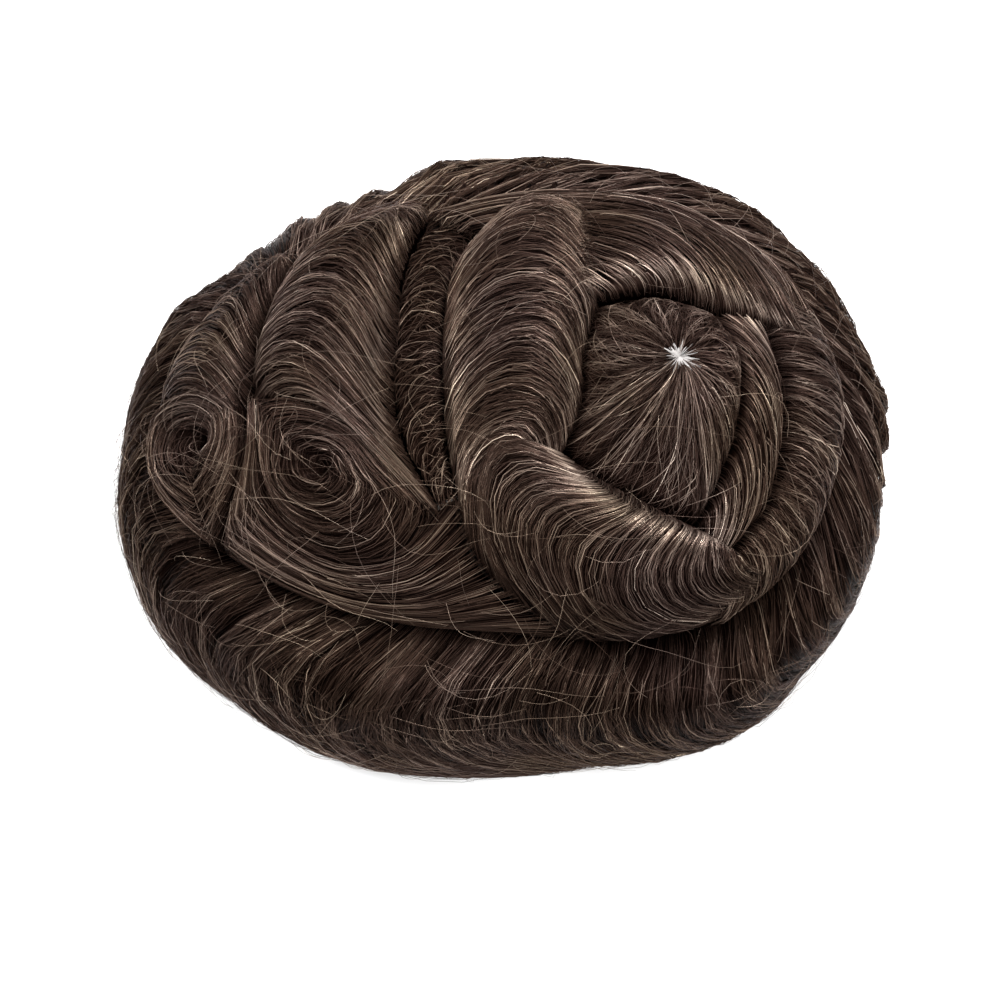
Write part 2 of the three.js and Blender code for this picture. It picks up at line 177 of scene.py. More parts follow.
INNER_STOPS = {
    "knot": (-0.46, 0.045), "knot_inner": (-0.425, 0.05),
    "valley_tip": (-0.145, -0.29), "valley_tip_back": (-0.11, -0.275),
    "crest_top": (0.0, 0.4), "crest_top_back": (0.2, 0.43),
    "whorl_top": (0.19, 0.155), "whorl_side": (0.09, -0.19),
    "whorl_foot": (0.31, -0.36), "whorl_top_back": (0.4, 0.115),
    "twist_foot": (0.35, -0.42), "twist_top": (0.49, 0.09), "back_top_inner": (0.58, 0.1),
}

SEAMS = {
    "wave_front": ("wave_top", ((-0.4, 0.32), (-0.437, 0.19)), "knot"),
    "roll_foot": ("knot", ((-0.52, 0.13), (-0.6, 0.165)), "curl_top"),
    "curl_back": ("knot", ((-0.475, -0.12),), "curl_foot"),
    "knot_width": ("knot", (), "knot_inner"),
    "wave_end": ("knot_inner", ((-0.35, 0.025), (-0.27, -0.06), (-0.215, -0.17)), "valley_tip"),
    "wave_back": ("parting_top", ((-0.145, 0.37), (-0.18, 0.2), (-0.205, 0.04), (-0.2, -0.12)), "valley_tip"),
    "parting_head": ("parting_top", (), "crest_top"),
    "valley_end": ("valley_tip", (), "valley_tip_back"),
    "crest_front": ("crest_top", ((-0.065, 0.3), (-0.1, 0.15), (-0.115, 0.0), (-0.12, -0.15)), "valley_tip_back"),
    "crest_head": ("crest_top", ((0.09, 0.425),), "crest_top_back"),
    "crest_back": ("crest_top_back", ((0.205, 0.29),), "whorl_top"),
    "crest_end": ("valley_tip_back", ((-0.06, -0.19), (0.01, -0.155)), "whorl_side"),
    "whorl_front": ("whorl_top", ((0.155, 0.04), (0.135, -0.08)), "whorl_side"),
    "whorl_low": ("whorl_side", ((0.15, -0.265), (0.23, -0.32)), "whorl_foot"),
    "whorl_back": ("whorl_top_back", ((0.428, 0.0), (0.41, -0.14), (0.365, -0.26)), "whorl_foot"),
    "whorl_head": ("whorl_top", ((0.3, 0.165),), "whorl_top_back"),
    "lower_front": ("valley_tip_back", ((-0.095, -0.39), (-0.045, -0.48)), "wave_foot"),
    "lower_end": ("back_foot", ((0.385, -0.47),), "twist_foot"),
    "twist_foot_width": ("twist_foot", (), "whorl_foot"),
    "twist_back": ("twist_top", ((0.5, -0.03), (0.485, -0.17), (0.435, -0.31)), "twist_foot"),
    "twist_top_width": ("whorl_top_back", (), "twist_top"),
    "back_end": ("twist_top", (), "back_top_inner"),
    "back_end_outer": ("back_top_inner", (), "back_top"),
    "upper_top": ("crest_top_back", ((0.33, 0.42), (0.45, 0.35), (0.54, 0.24)), "back_top_inner"),
    "sweep_inner": ("knot_inner", ((-0.43, -0.12), (-0.4, -0.26), (-0.32, -0.36), (-0.22, -0.37)), "valley_tip"),
}


def groove_share(azimuth: Array) -> Array:
    """Share of the way to the rim at which the groove lies, by azimuth in degrees."""
    rows = np.array(GROOVE_TABLE)
    azimuths = np.concatenate([rows[-2:, 0] - 360, rows[:, 0], rows[:3, 0] + 360])
    shares = np.concatenate([rows[-2:, 1], rows[:, 1], rows[:3, 1]])
    turn = np.mod(azimuth, 360)
    k = np.searchsorted(azimuths, turn, side="right") - 1
    span = azimuths[k + 1] - azimuths[k]
    step = shares[k + 1] - shares[k]
    start_slope = (shares[k + 1] - shares[k - 1]) / (azimuths[k + 1] - azimuths[k - 1]) * span
    end_slope = (shares[k + 2] - shares[k]) / (azimuths[k + 2] - azimuths[k]) * span
    t = (turn - azimuths[k]) / span
    return shares[k] + t * (start_slope + t * (3 * step - 2 * start_slope - end_slope
                                               + t * (start_slope + end_slope - 2 * step)))


def polar_places(azimuth: Array, share: Array) -> Array:
    """Map places at an azimuth in degrees and a share of the way to the rim."""
    return np.stack([share * np.cos(np.radians(azimuth)), share * np.sin(np.radians(azimuth))], axis=-1)


def groove_curve(start: str, end: str, samples: int = 120) -> Array:
    """Places along the groove between two of its stops, the short way round."""
    first = GROOVE_STOPS[start]
    turn = (GROOVE_STOPS[end] - first + 540) % 360 - 180
    azimuth = first + turn * np.linspace(0, 1, samples)
    return polar_places(azimuth, groove_share(azimuth))


def stop_place(name: str) -> Array:
    """Map place of a stop on the groove or inside it."""
    if name in GROOVE_STOPS:
        azimuth = np.array(GROOVE_STOPS[name])
        return polar_places(azimuth, groove_share(azimuth))
    return np.array(INNER_STOPS[name])


def seam_curve(name: str, samples: int = 40) -> Array:
    """Places along a seam, a smooth curve through its table row."""
    start, via, end = SEAMS[name]
    knots = np.array([stop_place(start), *[np.array(place) for place in via], stop_place(end)])
    padded = np.vstack([knots[:1], knots, knots[-1:]])
    pieces = []
    t = np.linspace(0, 1, samples, endpoint=False)[:, None]
    for k in range(len(knots) - 1):
        p0, p1, p2, p3 = padded[k:k + 4]
        v0, v1 = (p2 - p0) / 2, (p3 - p1) / 2
        pieces.append((2 * p1 - 2 * p2 + v0 + v1) * t ** 3 + (3 * p2 - 3 * p1 - 2 * v0 - v1) * t ** 2 + v0 * t + p1)
    return np.vstack([*pieces, knots[-1:]])


@dataclass
class Side:
    """One side of a lock: seams and stretches of the groove, end to end.

    A leading minus turns a seam round, and a pair of stops is a stretch of the groove.
    """

    parts: Parts
    places: Array = field(init=False)
    shares: Array = field(init=False)
    length: float = field(init=False)

    def __post_init__(self) -> None:
        """Joins the parts and measures how far along each place lies."""
        curves = []
        for part in self.parts:
            if isinstance(part, tuple):
                curves.append(groove_curve(*part))
            elif part.startswith("-"):
                curves.append(seam_curve(part[1:])[::-1])
            else:
                curves.append(seam_curve(part))
        self.places = np.vstack(curves)
        steps = np.linalg.norm(np.diff(self.places, axis=0), axis=1)
        along = np.concatenate([[0], np.cumsum(steps)])
        self.shares = along / along[-1]
        self.length = along[-1]

    def at(self, share: Array) -> Array:
        """Places at shares of the side's length."""
        return np.stack([np.interp(share, self.shares, self.places[:, axis]) for axis in (0, 1)], axis=-1)

    def bulge(self, share: Array) -> Array:
        """How far the places at these shares lie off the straight line between the side's ends."""
        straight = self.places[0] + (self.places[-1] - self.places[0]) * share[..., None]
        return self.at(share) - straight


# Locks as patches of the map

def hump(w: Array, crest_at: float, power: float = 2.2) -> Array:
    """Rounded section: 0 at both edges and 1 at the crest."""
    reach = np.where(w < crest_at, (crest_at - w) / crest_at, (w - crest_at) / (1 - crest_at))
    return np.sqrt(1 - np.minimum(reach, 1) ** power)


class Lock:
    """A patch of the map with a rise over it. t runs along the lock and w across it, both from 0 to 1."""

    name: str
    closed: bool = False
    joined: bool = False

    def place(self, t: Array, w: Array) -> Array:
        """Map places at t and w."""
        raise NotImplementedError

    def rise(self, t: Array, w: Array) -> Array:
        """Shares of the hair's depth at t and w."""
        raise NotImplementedError

    def points(self, t: Array, w: Array, lift: Array | float = 0.0) -> Array:
        """Points on the lock's surface, lifted off it by a height in metres."""
        return SHELL.points(self.place(t, w), self.rise(t, w), lift)

    def size(self, samples: int = 24) -> tuple[float, float, float]:
        """Measures the lock.

        Args:
            samples: Steps each way.

        Returns:
            Mean length along t, mean width along w, both in metres, and the area.
        """
        t, w = np.meshgrid(np.linspace(0, 1, samples), np.linspace(0, 1, samples), indexing="ij")
        grid = self.points(t, w)
        along = np.diff(grid, axis=0)[:, :-1]
        across = np.diff(grid, axis=1)[:-1]
        area = float(np.linalg.norm(np.cross(along, across), axis=-1).sum())
        length = float(np.linalg.norm(along, axis=-1).sum(axis=0).mean())
        width = float(np.linalg.norm(across, axis=-1).sum(axis=1).mean())
        return length, width, area


END_STEP = 0.03


@dataclass
class BandLock(Lock):
    """A lock between two rails and two ends, ruled from rail to rail."""

    name: str
    rail_a: Side
    rail_b: Side
    start: Side
    end: Side
    edge_a: float
    edge_b: float
    crest: float
    crest_at: float
    end_drop: float

    def place(self, t: Array, w: Array) -> Array:
        """Map places at t and w. Past its ends the lock runs straight on."""
        t, w = np.broadcast_arrays(t, w)
        held = np.clip(t, 0, 1)
        inner = np.clip(t, END_STEP, 1 - END_STEP)
        end = self.inside(held, w)
        beyond = np.abs(t - held)[..., None] / END_STEP
        return end + (end - self.inside(inner, w)) * beyond

    def inside(self, t: Array, w: Array) -> Array:
        """Map places at t and w, with t from 0 to 1."""
        side_a = self.rail_a.at(t)
        side_b = self.rail_b.at(t)
        ruled = side_a + (side_b - side_a) * w[..., None]
        near = ((1 - t) ** 3)[..., None] * self.start.bulge(w)
        far = (t ** 3)[..., None] * self.end.bulge(w)
        return ruled + near + far

    def rise(self, t: Array, w: Array) -> Array:
        """Shares of the hair's depth at t and w."""
        edge = self.edge_a + (self.edge_b - self.edge_a) * np.clip(w, 0, 1)
        ends = 1 - self.end_drop * np.minimum(np.abs(2 * t - 1), 1) ** 4
        return edge + (self.crest - edge) * hump(w, self.crest_at) * ends


@dataclass
class RoundLock(Lock):
    """A lock round an eye. t runs round it and w from the eye to its edge."""

    name: str
    eye: tuple[float, float]
    edge: Side
    eye_rise: float
    crest: float
    crest_at: float
    edge_rise: float
    closed: bool = True
    roundness: float = 0.85

    @property
    def mean_reach(self) -> float:
        """Mean distance from the eye to the edge, in the map."""
        rays = self.edge.at(np.linspace(0, 1, 90)) - np.array(self.eye)
        return float(np.linalg.norm(rays, axis=1).mean())

    def place(self, t: Array, w: Array) -> Array:
        """Map places at t and w. The rings grow rounder towards the eye."""
        eye = np.array(self.eye)
        ray = self.edge.at(np.mod(t, 1)) - eye
        evened = self.mean_reach / np.linalg.norm(ray, axis=-1)
        mixed = 1 + (evened - 1) * self.roundness * np.clip(1 - w, 0, 1)
        return eye + ray * (w * mixed)[..., None]

    def rise(self, t: Array, w: Array) -> Array:
        """Shares of the hair's depth at t and w."""
        low = np.where(w < self.crest_at, self.eye_rise, self.edge_rise)
        return low + (self.crest - low) * hump(w, self.crest_at)


RIM_SWELLS = (
    # azimuth in degrees, how far the roll stands out there in millimetres
    (1, 0.8), (13, -1.0), (27, 2.8), (40, 3.4), (57, 1.6), (66, 0.1), (76, 2.6), (84, 0.2), (94, 2.8), (101, -1.8),
    (110, 0.5), (119, 3.6), (131, 0.9), (141, 4.4), (148, 2.7), (161, 0.5), (180, -0.9), (195, -0.6), (207, 3.6),
    (218, 6.3), (228, 7.6), (238, 10.2), (248, 9.2), (258, 5.8), (267, 1.0), (280, 4.4), (288, 7.8), (298, 9.8),
    (306, 7.8), (318, 3.4), (330, 0.8), (343, -0.4),
)


def rim_swell(azimuth: Array, w: Array) -> Array:
    """How far the roll stands out in metres, at azimuths in degrees and shares w of the way down from the groove."""
    swell = np.interp(azimuth, *zip(*RIM_SWELLS), period=360) * MM
    return swell * (1 - np.abs(2 * np.clip(w, 0, 1) - 1) ** 2.5)


@dataclass
class RimLock(Lock):
    """A lock of the roll along the rim. t runs round the rim and w from the groove down to the floor."""

    name: str
    start: float
    end: float
    bow: float = 7.0
    drift: float = 6.0
    edge_rise: float = 0.5
    shoulder_at: float = 0.5
    tuck_at: float = 0.55
    tuck: float = 0.14
    end_drop: float = 0.12
    joined: bool = True

    def azimuth(self, t: Array, w: Array) -> Array:
        """Azimuths at t and w, in degrees."""
        return self.start + (self.end - self.start) * t - self.bow * np.sin(math.pi * w) + self.drift * w ** 2

    def place(self, t: Array, w: Array) -> Array:
        """Map places at t and w."""
        azimuth = self.azimuth(t, w)
        share = groove_share(azimuth)
        return polar_places(azimuth, share + (1 - share) * w)

    def rise(self, t: Array, w: Array) -> Array:
        """Shares of the hair's depth at t and w."""
        shoulder = np.sin(math.pi / 2 * np.clip(w / self.shoulder_at, 0, 1))
        tuck = self.tuck * np.maximum((w - self.tuck_at) / (1 - self.tuck_at), 0) ** 2
        crest = 1 - self.end_drop * np.abs(2 * np.mod(t, 1) - 1) ** 3
        return self.edge_rise + (crest - self.edge_rise) * shoulder - tuck

    def points(self, t: Array, w: Array, lift: Array | float = 0.0) -> Array:
        """Points on the lock's surface with the roll's swells, lifted off it by a height in metres."""
        return super().points(t, w, lift + rim_swell(self.azimuth(t, w), w))


# Combing: how hairs run over a lock

@dataclass(frozen=True)
class Paths:
    """Courses of a lock's hairs in its own t and w, one row a hair, from root to tip."""

    t: Array
    w: Array


class Comb:
    """A way in which hairs run over a lock."""

    steps: int = 7
    runs_across: bool = True

    def paths(self, count: int, rng: np.random.Generator) -> Paths:
        """Courses of a number of hairs."""
        raise NotImplementedError

    def grain(self, t: Array, w: Array) -> tuple[Array, Array]:
        """Shares across and along the hairs at a place of the lock."""
        raise NotImplementedError


def spread(count: int, rng: np.random.Generator, low: float = 0.0, high: float = 1.0) -> Array:
    """One random value in each of as many even steps from low to high."""
    return low + (high - low) * (np.arange(count) + rng.random(count)) / count


WAVE_PHASES = 6.3


def waver(count: int, size: float, s: Array, rng: np.random.Generator) -> Array:
    """Sideways waves of hairs, one along each, of random size and phase."""
    return rng.normal(0, size, (count, 1)) * np.sin(2 * math.pi * s + rng.random((count, 1)) * WAVE_PHASES)


SWING_WAVES = (
    # turns along the lock, turns across it, radians of the wave's swell across it
    (2.3, 0.4, 1.7 * math.pi),
    (5.1, -0.3, 3.0),
)


def swing(place: Array, w: Array, rng: np.random.Generator) -> Array:
    """Waves that carry neighbouring hairs the same way, from about -2 to 2."""
    total = 0.0
    for (along, across, swell), (turn, shift) in zip(SWING_WAVES, rng.random((2, 2)) * 2 * math.pi):
        total = total + np.sin(2 * math.pi * (along * place + across * w) + turn) * np.sin(swell * w + shift)
    return total


@dataclass(frozen=True)
class AcrossComb(Comb):
    """Hairs that cross a lock from edge A to edge B in arcs.

    Sizes are shares of the lock's length. The arc's middle lies further on along the lock by bow, edge B's side by
    lean, and the last of the hair at edge A or B by tail_a or tail_b. A share of the hairs is whole. The others start
    up to part_root of the way across and have part_length or more of it.
    """

    bow: float = -0.1
    lean: float = 0.0
    tail_a: float = 0.0
    tail_b: float = 0.0
    fullness: float = 2.2
    loose: float = 0.016
    sway: float = 0.012
    whole: float = 0.45
    whole_root: float = 0.02
    whole_tip: float = 0.04
    part_root: float = 0.65
    part_length: float = 0.35
    spill: tuple[float, float] = (0.015, 0.03)
    span: tuple[float, float] = (-0.03, 1.05)
    probes: int = 55
    fewest_inside: int = 5
    extra: float = 1.6
    steps: int = 8
    turned: bool = False
    open_ended: bool = False
    runs_across: bool = True

    def curve(self, place: Array, w: Array) -> Array:
        """How much further along the lock a hair lies at w than at its own place."""
        room = np.clip(np.where(self.bow < 0, place, 1 - place) / max(abs(self.bow), 1e-6), 0, 1)
        if self.open_ended:
            room = np.ones_like(room)
        held = np.clip(w, 0, 1)
        arc = 1 - np.abs(2 * held - 1) ** self.fullness
        tails = self.tail_a * (1 - held) ** 4 + self.tail_b * held ** 4
        return room * self.bow * arc + self.lean * (held - 0.5) + tails

    def grain(self, t: Array, w: Array) -> tuple[Array, Array]:
        """Shares across and along the hairs at a place of the lock."""
        return t - self.curve(t, w), w

    def paths(self, count: int, rng: np.random.Generator) -> Paths:
        """Courses of a number of hairs.

        Args:
            count: Number of hairs.
            rng: Source of the random draws.

        Returns:
            The hairs' courses.
        """
        slack = abs(self.bow) + abs(self.lean) / 2 + max(abs(self.tail_a), abs(self.tail_b))
        low, high = -self.spill[0], 1 + self.spill[1]
        reach = 0.0 if self.open_ended else slack
        place = spread(round(count * (high - low + self.extra * reach)), rng, low - reach, high + reach)
        across = np.linspace(*self.span, self.probes)
        course = place[:, None] + self.curve(place[:, None], across)
        inside = np.ones_like(course, bool) if self.open_ended else (course >= low) & (course <= high)
        keep = inside.sum(axis=1) >= self.fewest_inside
        place, inside = place[keep], inside[keep]
        count = len(place)
        first = across[inside.argmax(axis=1)]
        last = across[len(across) - 1 - inside[:, ::-1].argmax(axis=1)]
        whole = rng.random(count) < self.whole
        root = np.where(whole, self.whole_root * rng.random(count), self.part_root * rng.random(count))
        whole_tip = 1 - self.whole_tip * rng.random(count)
        part_tip = np.minimum(root + self.part_length + (1 - self.part_length) * rng.random(count), 1)
        tip = np.where(whole, whole_tip, part_tip)
        s = np.linspace(0, 1, self.steps + 1)
        eased = 0.5 * s + 0.5 * (0.5 - 0.5 * np.cos(math.pi * s))
        w = (first + (last - first) * root)[:, None] + ((last - first) * (tip - root))[:, None] * eased
        stray = rng.normal(0, self.loose, count)[:, None] * (s - 0.5)
        wander = waver(count, self.loose / 2, s, rng)
        own = place[:, None]
        t = own + self.curve(own, w) + stray + wander + self.sway * swing(own, w, rng)
        if self.turned:
            return Paths(t[:, ::-1], w[:, ::-1])
        return Paths(t, w)


@dataclass(frozen=True)
class RimComb(AcrossComb):
    """Hairs of the roll, whose lean and tail change from one end of the lock to the other."""

    leans: tuple[float, float] = (0.0, 0.0)
    tails: tuple[float, float] = (0.0, 0.0)
    open_ended: bool = True

    def curve(self, place: Array, w: Array) -> Array:
        """How much further along the lock a hair lies at w than at its own place."""
        held = np.clip(w, 0, 1)
        lean = np.interp(place, (0, 1), self.leans)
        tail = np.interp(place, (0, 1), self.tails)
        arc = 1 - np.abs(2 * held - 1) ** self.fullness
        return self.bow * arc + lean * (held - 0.5) + tail * held ** 2


@dataclass(frozen=True)
class AlongComb(Comb):
    """Hairs that run along a lock for a share of its length, drifting across it by lean and swinging out by bow.

    Their middles reach past the lock's sides by a share of reach and lean, so that its corners fill too. A pair is the
    least and what a random draw adds to it.
    """

    reach: float = 0.5
    reaches: tuple[float, float] = (0.6, 0.6)
    lean: float = 0.2
    least_lean: float = 0.001
    bow: float = 0.0
    loose: float = 0.03
    spill: float = 0.03
    edge_spill: float = 0.04
    room: float = 0.4
    extra: float = 1.4
    shortest: float = 0.2
    steps: int = 8
    runs_across: bool = False

    def grain(self, t: Array, w: Array) -> tuple[Array, Array]:
        """Shares across and along the hairs at a place of the lock."""
        return w - self.lean / self.reach * (t - 0.5), t

    def paths(self, count: int, rng: np.random.Generator) -> Paths:
        """Courses of a number of hairs.

        Args:
            count: Number of hairs.
            rng: Source of the random draws.

        Returns:
            The hairs' courses.
        """
        s = np.linspace(0, 1, self.steps + 1)
        room_t, room_w = self.room * self.reach, self.room * abs(self.lean)
        count = round(count * (1 + self.extra * room_t) * (1 + self.extra * room_w))
        middle_t = spread(count, rng, -room_t, 1 + room_t)
        rng.shuffle(middle_t)
        middle_w = spread(count, rng, -room_w, 1 + room_w)
        reach = self.reach * (self.reaches[0] + self.reaches[1] * rng.random(count))
        lean = self.lean * reach / self.reach + rng.normal(0, self.loose, count)
        lean = np.where(np.abs(lean) < self.least_lean, self.least_lean, lean)
        crossings = np.sort(np.stack([-middle_w / lean, (1 - middle_w) / lean]), axis=0)
        spill = self.spill * rng.random(count)
        low = np.maximum(np.maximum((-spill - middle_t) / reach, -0.5), crossings[0] - self.edge_spill)
        high = np.minimum(np.minimum((1 + spill - middle_t) / reach, 0.5), crossings[1] + self.edge_spill)
        keep = high - low > self.shortest
        middle_t, middle_w, reach, lean, low, high = (
            values[keep] for values in (middle_t, middle_w, reach, lean, low, high)
        )
        share = low[:, None] + (high - low)[:, None] * s
        t = middle_t[:, None] + reach[:, None] * share
        w = middle_w[:, None] + lean[:, None] * share + self.bow * (1 - (2 * s - 1) ** 2)
        return Paths(t, np.clip(w, -0.01, 1.01))


@dataclass(frozen=True)
class WoundComb(Comb):
    """Hairs that wind round a lock's eye by a share of a turn, drifting outwards.

    A pair is the least and what a random draw adds to it.
    """

    turns: float = 0.5
    lengths: tuple[float, float] = (0.6, 0.8)
    drift: float = 0.18
    inner: float = 0.12
    innermost: float = 0.6
    loose: float = 0.035
    steps: int = 11
    runs_across: bool = False

    def grain(self, t: Array, w: Array) -> tuple[Array, Array]:
        """Shares across and along the hairs at a place of the lock."""
        return w, t

    def paths(self, count: int, rng: np.random.Generator) -> Paths:
        """Courses of a number of hairs.

        Args:
            count: Number of hairs.
            rng: Source of the random draws.

        Returns:
            The hairs' courses.
        """
        s = np.linspace(0, 1, self.steps + 1)
        first = rng.random(count)
        out = np.sqrt(self.inner ** 2 + (1 - self.inner ** 2) * rng.random(count))
        turn = self.turns * (self.lengths[0] + self.lengths[1] * rng.random(count))
        drift = self.drift + rng.normal(0, self.loose, count)
        wander = waver(count, self.loose, s, rng)
        t = first[:, None] + turn[:, None] * s
        w = out[:, None] + drift[:, None] * (s - 0.5) + wander
        return Paths(t, np.clip(w, self.inner * self.innermost, 1.0))


@dataclass(frozen=True)
class RadialComb(Comb):
    """Hairs that spread from a lock's eye, a share of them from near it.

    A pair is the least and what a random draw adds to it.
    """

    swirl: float = 0.04
    inner: float = 0.05
    rooted_near: float = 0.55
    near_roots: float = 0.2
    far_roots: float = 0.5
    lengths: tuple[float, float] = (0.45, 0.4)
    loose: float = 0.02
    steps: int = 8
    runs_across: bool = True

    def grain(self, t: Array, w: Array) -> tuple[Array, Array]:
        """Shares across and along the hairs at a place of the lock."""
        return t - self.swirl * w, w

    def paths(self, count: int, rng: np.random.Generator) -> Paths:
        """Courses of a number of hairs.

        Args:
            count: Number of hairs.
            rng: Source of the random draws.

        Returns:
            The hairs' courses.
        """
        s = np.linspace(0, 1, self.steps + 1)
        first = spread(count, rng)
        near = rng.random(count) < self.rooted_near
        near_root = self.inner + self.near_roots * rng.random(count) ** 1.5
        root = np.where(near, near_root, self.near_roots + self.far_roots * rng.random(count))
        tip = np.minimum(root + self.lengths[0] + self.lengths[1] * rng.random(count), 1.0)
        w = root[:, None] + (tip - root)[:, None] * s
        bend = rng.normal(0, self.loose, (count, 1)) * s + rng.normal(0, self.loose, (count, 1)) * s ** 2
        return Paths(first[:, None] + self.swirl * w + bend, w)


# Hair on a lock

@dataclass(frozen=True)
class HairStyle:
    """Sizes of the hairs and of the strands that they gather in, in metres, and shares of a hair or of the hairs.

    A pair is the least and what a random draw adds to it, as shares of the size before it.
    """

    radius: float = 0.142 * MM
    radii: tuple[float, float] = (0.7, 0.6)
    tip_taper: float = 0.65
    root_taper: float = 0.45
    root_taper_share: float = 0.12
    stand: float = 0.3 * MM
    layer: float = 0.9 * MM
    furrow: float = 0.55 * MM
    furrow_width: float = 4.2 * MM
    furrow_share: float = 0.8
    root_dip: float = 2.0 * MM
    tip_dip: float = 1.2 * MM
    dip_share: float = 0.14
    flyaways: float = 0.035
    flyaway_lift: float = 2.6 * MM
    flyaway_lifts: tuple[float, float] = (0.3, 1.0)
    flyaway_stray: float = 0.05
    flyaway_radius: float = 0.45
    core_depth: float = 1.0 * MM
    # width of the painted shade along a lock's seams
    edge_width: float = 5.0 * MM
    shingle: float = 0.0
    shingle_width: float = 13 * MM
    fine_step: float = 1.0 * MM
    coarse_step: float = 4.0 * MM
    grain_fine: float = 0.42 * MM
    grain_coarse: float = 9.0 * MM


@dataclass(frozen=True)
class Shading:
    """Lightness of the hairs and of the core under them, from 0 to 1, and what changes it. Much of it is painted
    shade: in furrows, in deeper layers, in the core under the hairs and at the eyes.
    """

    hair: float = 0.41
    # painted shade and light: hairs in a furrow darker, hairs on a strand lighter
    strand: float = 0.19
    flyaway: float = 0.12
    scatter: float = 0.095
    # painted shade: hairs of deeper layers darker
    depth: float = 0.22
    light_share: float = 0.05
    light: float = 0.2
    # painted shade: the core darker than the hairs, so the gaps between them look dark, and darker in its furrows by
    # core_strand; core_tone passes it the lock's tone and painted light
    core: float = 0.24
    core_strand: float = 0.10
    core_tone: float = 0.6
    core_least: float = 0.02
    # painted shade in the hollow at a round lock's eye
    eye: float = 0.1


SHADING = Shading()

FURROW_OCTAVES = (
    # width of the strands as a share of the style's furrow width, strength
    (1.0, 1.0), (0.55, 0.6), (0.27, 0.4), (1.9, 0.6),
)


@dataclass(frozen=True)
class Furrows:
    """How the hairs of a lock gather in strands: a height over the shares across and along them."""

    across: float
    along: float
    width: float
    phases: Array
    shingle_width: float
    shingle_bend: float = 0.25
    shingle_turns: float = 3.0
    shingle_drop: float = 6.0
    turn_widths: float = 9.0
    turn_sway: float = 1.1
    bend_widths: float = 3.7
    bend_sway: float = 0.9
    mean: float = 1.35
    gain: float = 1.7

    def shingle(self, x: Array, y: Array) -> Array:
        """Heights of strands that overlap like shingles, rising from -0.5 to 0.5 and dropping at once.

        Args:
            x: Shares across the hairs.
            y: Shares along the hairs.

        Returns:
            The heights.
        """
        phase = self.phases[0, 0]
        bend = self.shingle_bend * np.sin(self.shingle_turns * y + phase)
        share = np.mod(-x * self.across / self.shingle_width + bend + phase, 1)
        return np.minimum(share, (1 - share) * self.shingle_drop) - 0.5

    def height(self, x: Array, y: Array, finest: float = 0.0) -> Array:
        """Heights from about -1 in a furrow to 1 on a strand.

        Args:
            x: Shares across the hairs.
            y: Shares along the hairs.
            finest: Narrowest furrows to take in, in metres.

        Returns:
            The heights.
        """
        total = 0.0
        for (octave, strength), (phase, bend, run) in zip(FURROW_OCTAVES, self.phases):
            width = self.width * octave
            if width < finest:
                continue
            spans = ((self.across, 1), (self.along, self.turn_widths), (self.across, self.bend_widths))
            strands, turns, bends = (max(1, round(size / (widths * width))) for size, widths in spans)
            sway = self.turn_sway * np.sin(2 * math.pi * turns * y + bend)
            sway = sway + self.bend_sway * np.sin(2 * math.pi * bends * x + run)
            angle = 2 * math.pi * strands * x + phase + sway
            total = total + strength * (2 * np.sqrt(np.abs(np.sin(angle / 2))) - self.mean)
        return total / sum(strength for _, strength in FURROW_OCTAVES) * self.gain


@dataclass
class HairMesh:
    """Vertices, hair edges and core faces of a lock, with the values that its hairs carry."""

    points: list[Array] = field(default_factory=list)
    edges: list[Array] = field(default_factory=list)
    faces: list[list[int]] = field(default_factory=list)
    radius: list[Array] = field(default_factory=list)
    shade: list[Array] = field(default_factory=list)
    along: list[Array] = field(default_factory=list)
    core: list[Array] = field(default_factory=list)
    grain: list[Array] = field(default_factory=list)

    @property
    def size(self) -> int:
        """Number of vertices so far."""
        return sum(len(part) for part in self.points)

    def add_hairs(self, points: Array, radius: Array, shade: Array, along: Array) -> None:
        """Adds hairs.

        Args:
            points: A row of points for each hair.
            radius: Radius at each point.
            shade: Lightness of each hair, from 0 to 1.
            along: Share of the hair's length at each point.
        """
        count, steps, _ = points.shape
        first = self.size
        index = first + np.arange(count * steps).reshape(count, steps)
        self.points.append(points.reshape(-1, 3))
        self.edges.append(np.stack([index[:, :-1].ravel(), index[:, 1:].ravel()], axis=1))
        self.radius.append(radius.ravel())
        self.shade.append(np.broadcast_to(shade, (count, steps)).ravel())
        self.along.append(np.broadcast_to(along, (count, steps)).ravel())
        self.core.append(np.zeros(count * steps))
        self.grain.append(np.zeros((count * steps, 3)))

    def add_core(self, points: Array, faces: list[list[int]], shade: Array, grain: Array) -> None:
        """Adds a closed surface under the hairs.

        Args:
            points: Its points.
            faces: Its faces, by its own points.
            shade: Lightness of each point.
            grain: Place of each point in the pattern of fine hairs drawn on the surface.
        """
        first = self.size
        self.points.append(points)
        self.faces.extend([[first + corner for corner in face] for face in faces])
        self.radius.append(np.zeros(len(points)))
        self.shade.append(shade)
        self.along.append(np.zeros(len(points)))
        self.core.append(np.ones(len(points)))
        self.grain.append(grain)

    def to_mesh(self, name: str) -> bpy.types.Mesh:
        """A Blender mesh with the values as point attributes."""
        mesh = bpy.data.meshes.new(name)
        points = np.concatenate(self.points)
        edges = np.concatenate(self.edges)
        mesh.from_pydata(points.tolist(), edges.tolist(), self.faces)
        for label in ("radius", "shade", "along", "core"):
            values = np.concatenate(getattr(self, label)).astype(np.float32)
            layer = mesh.attributes.new(label, "FLOAT", "POINT")
            layer.data.foreach_set("value", values)
        grain = mesh.attributes.new("grain", "FLOAT_VECTOR", "POINT")
        grain.data.foreach_set("vector", np.concatenate(self.grain).astype(np.float32).ravel())
        return mesh


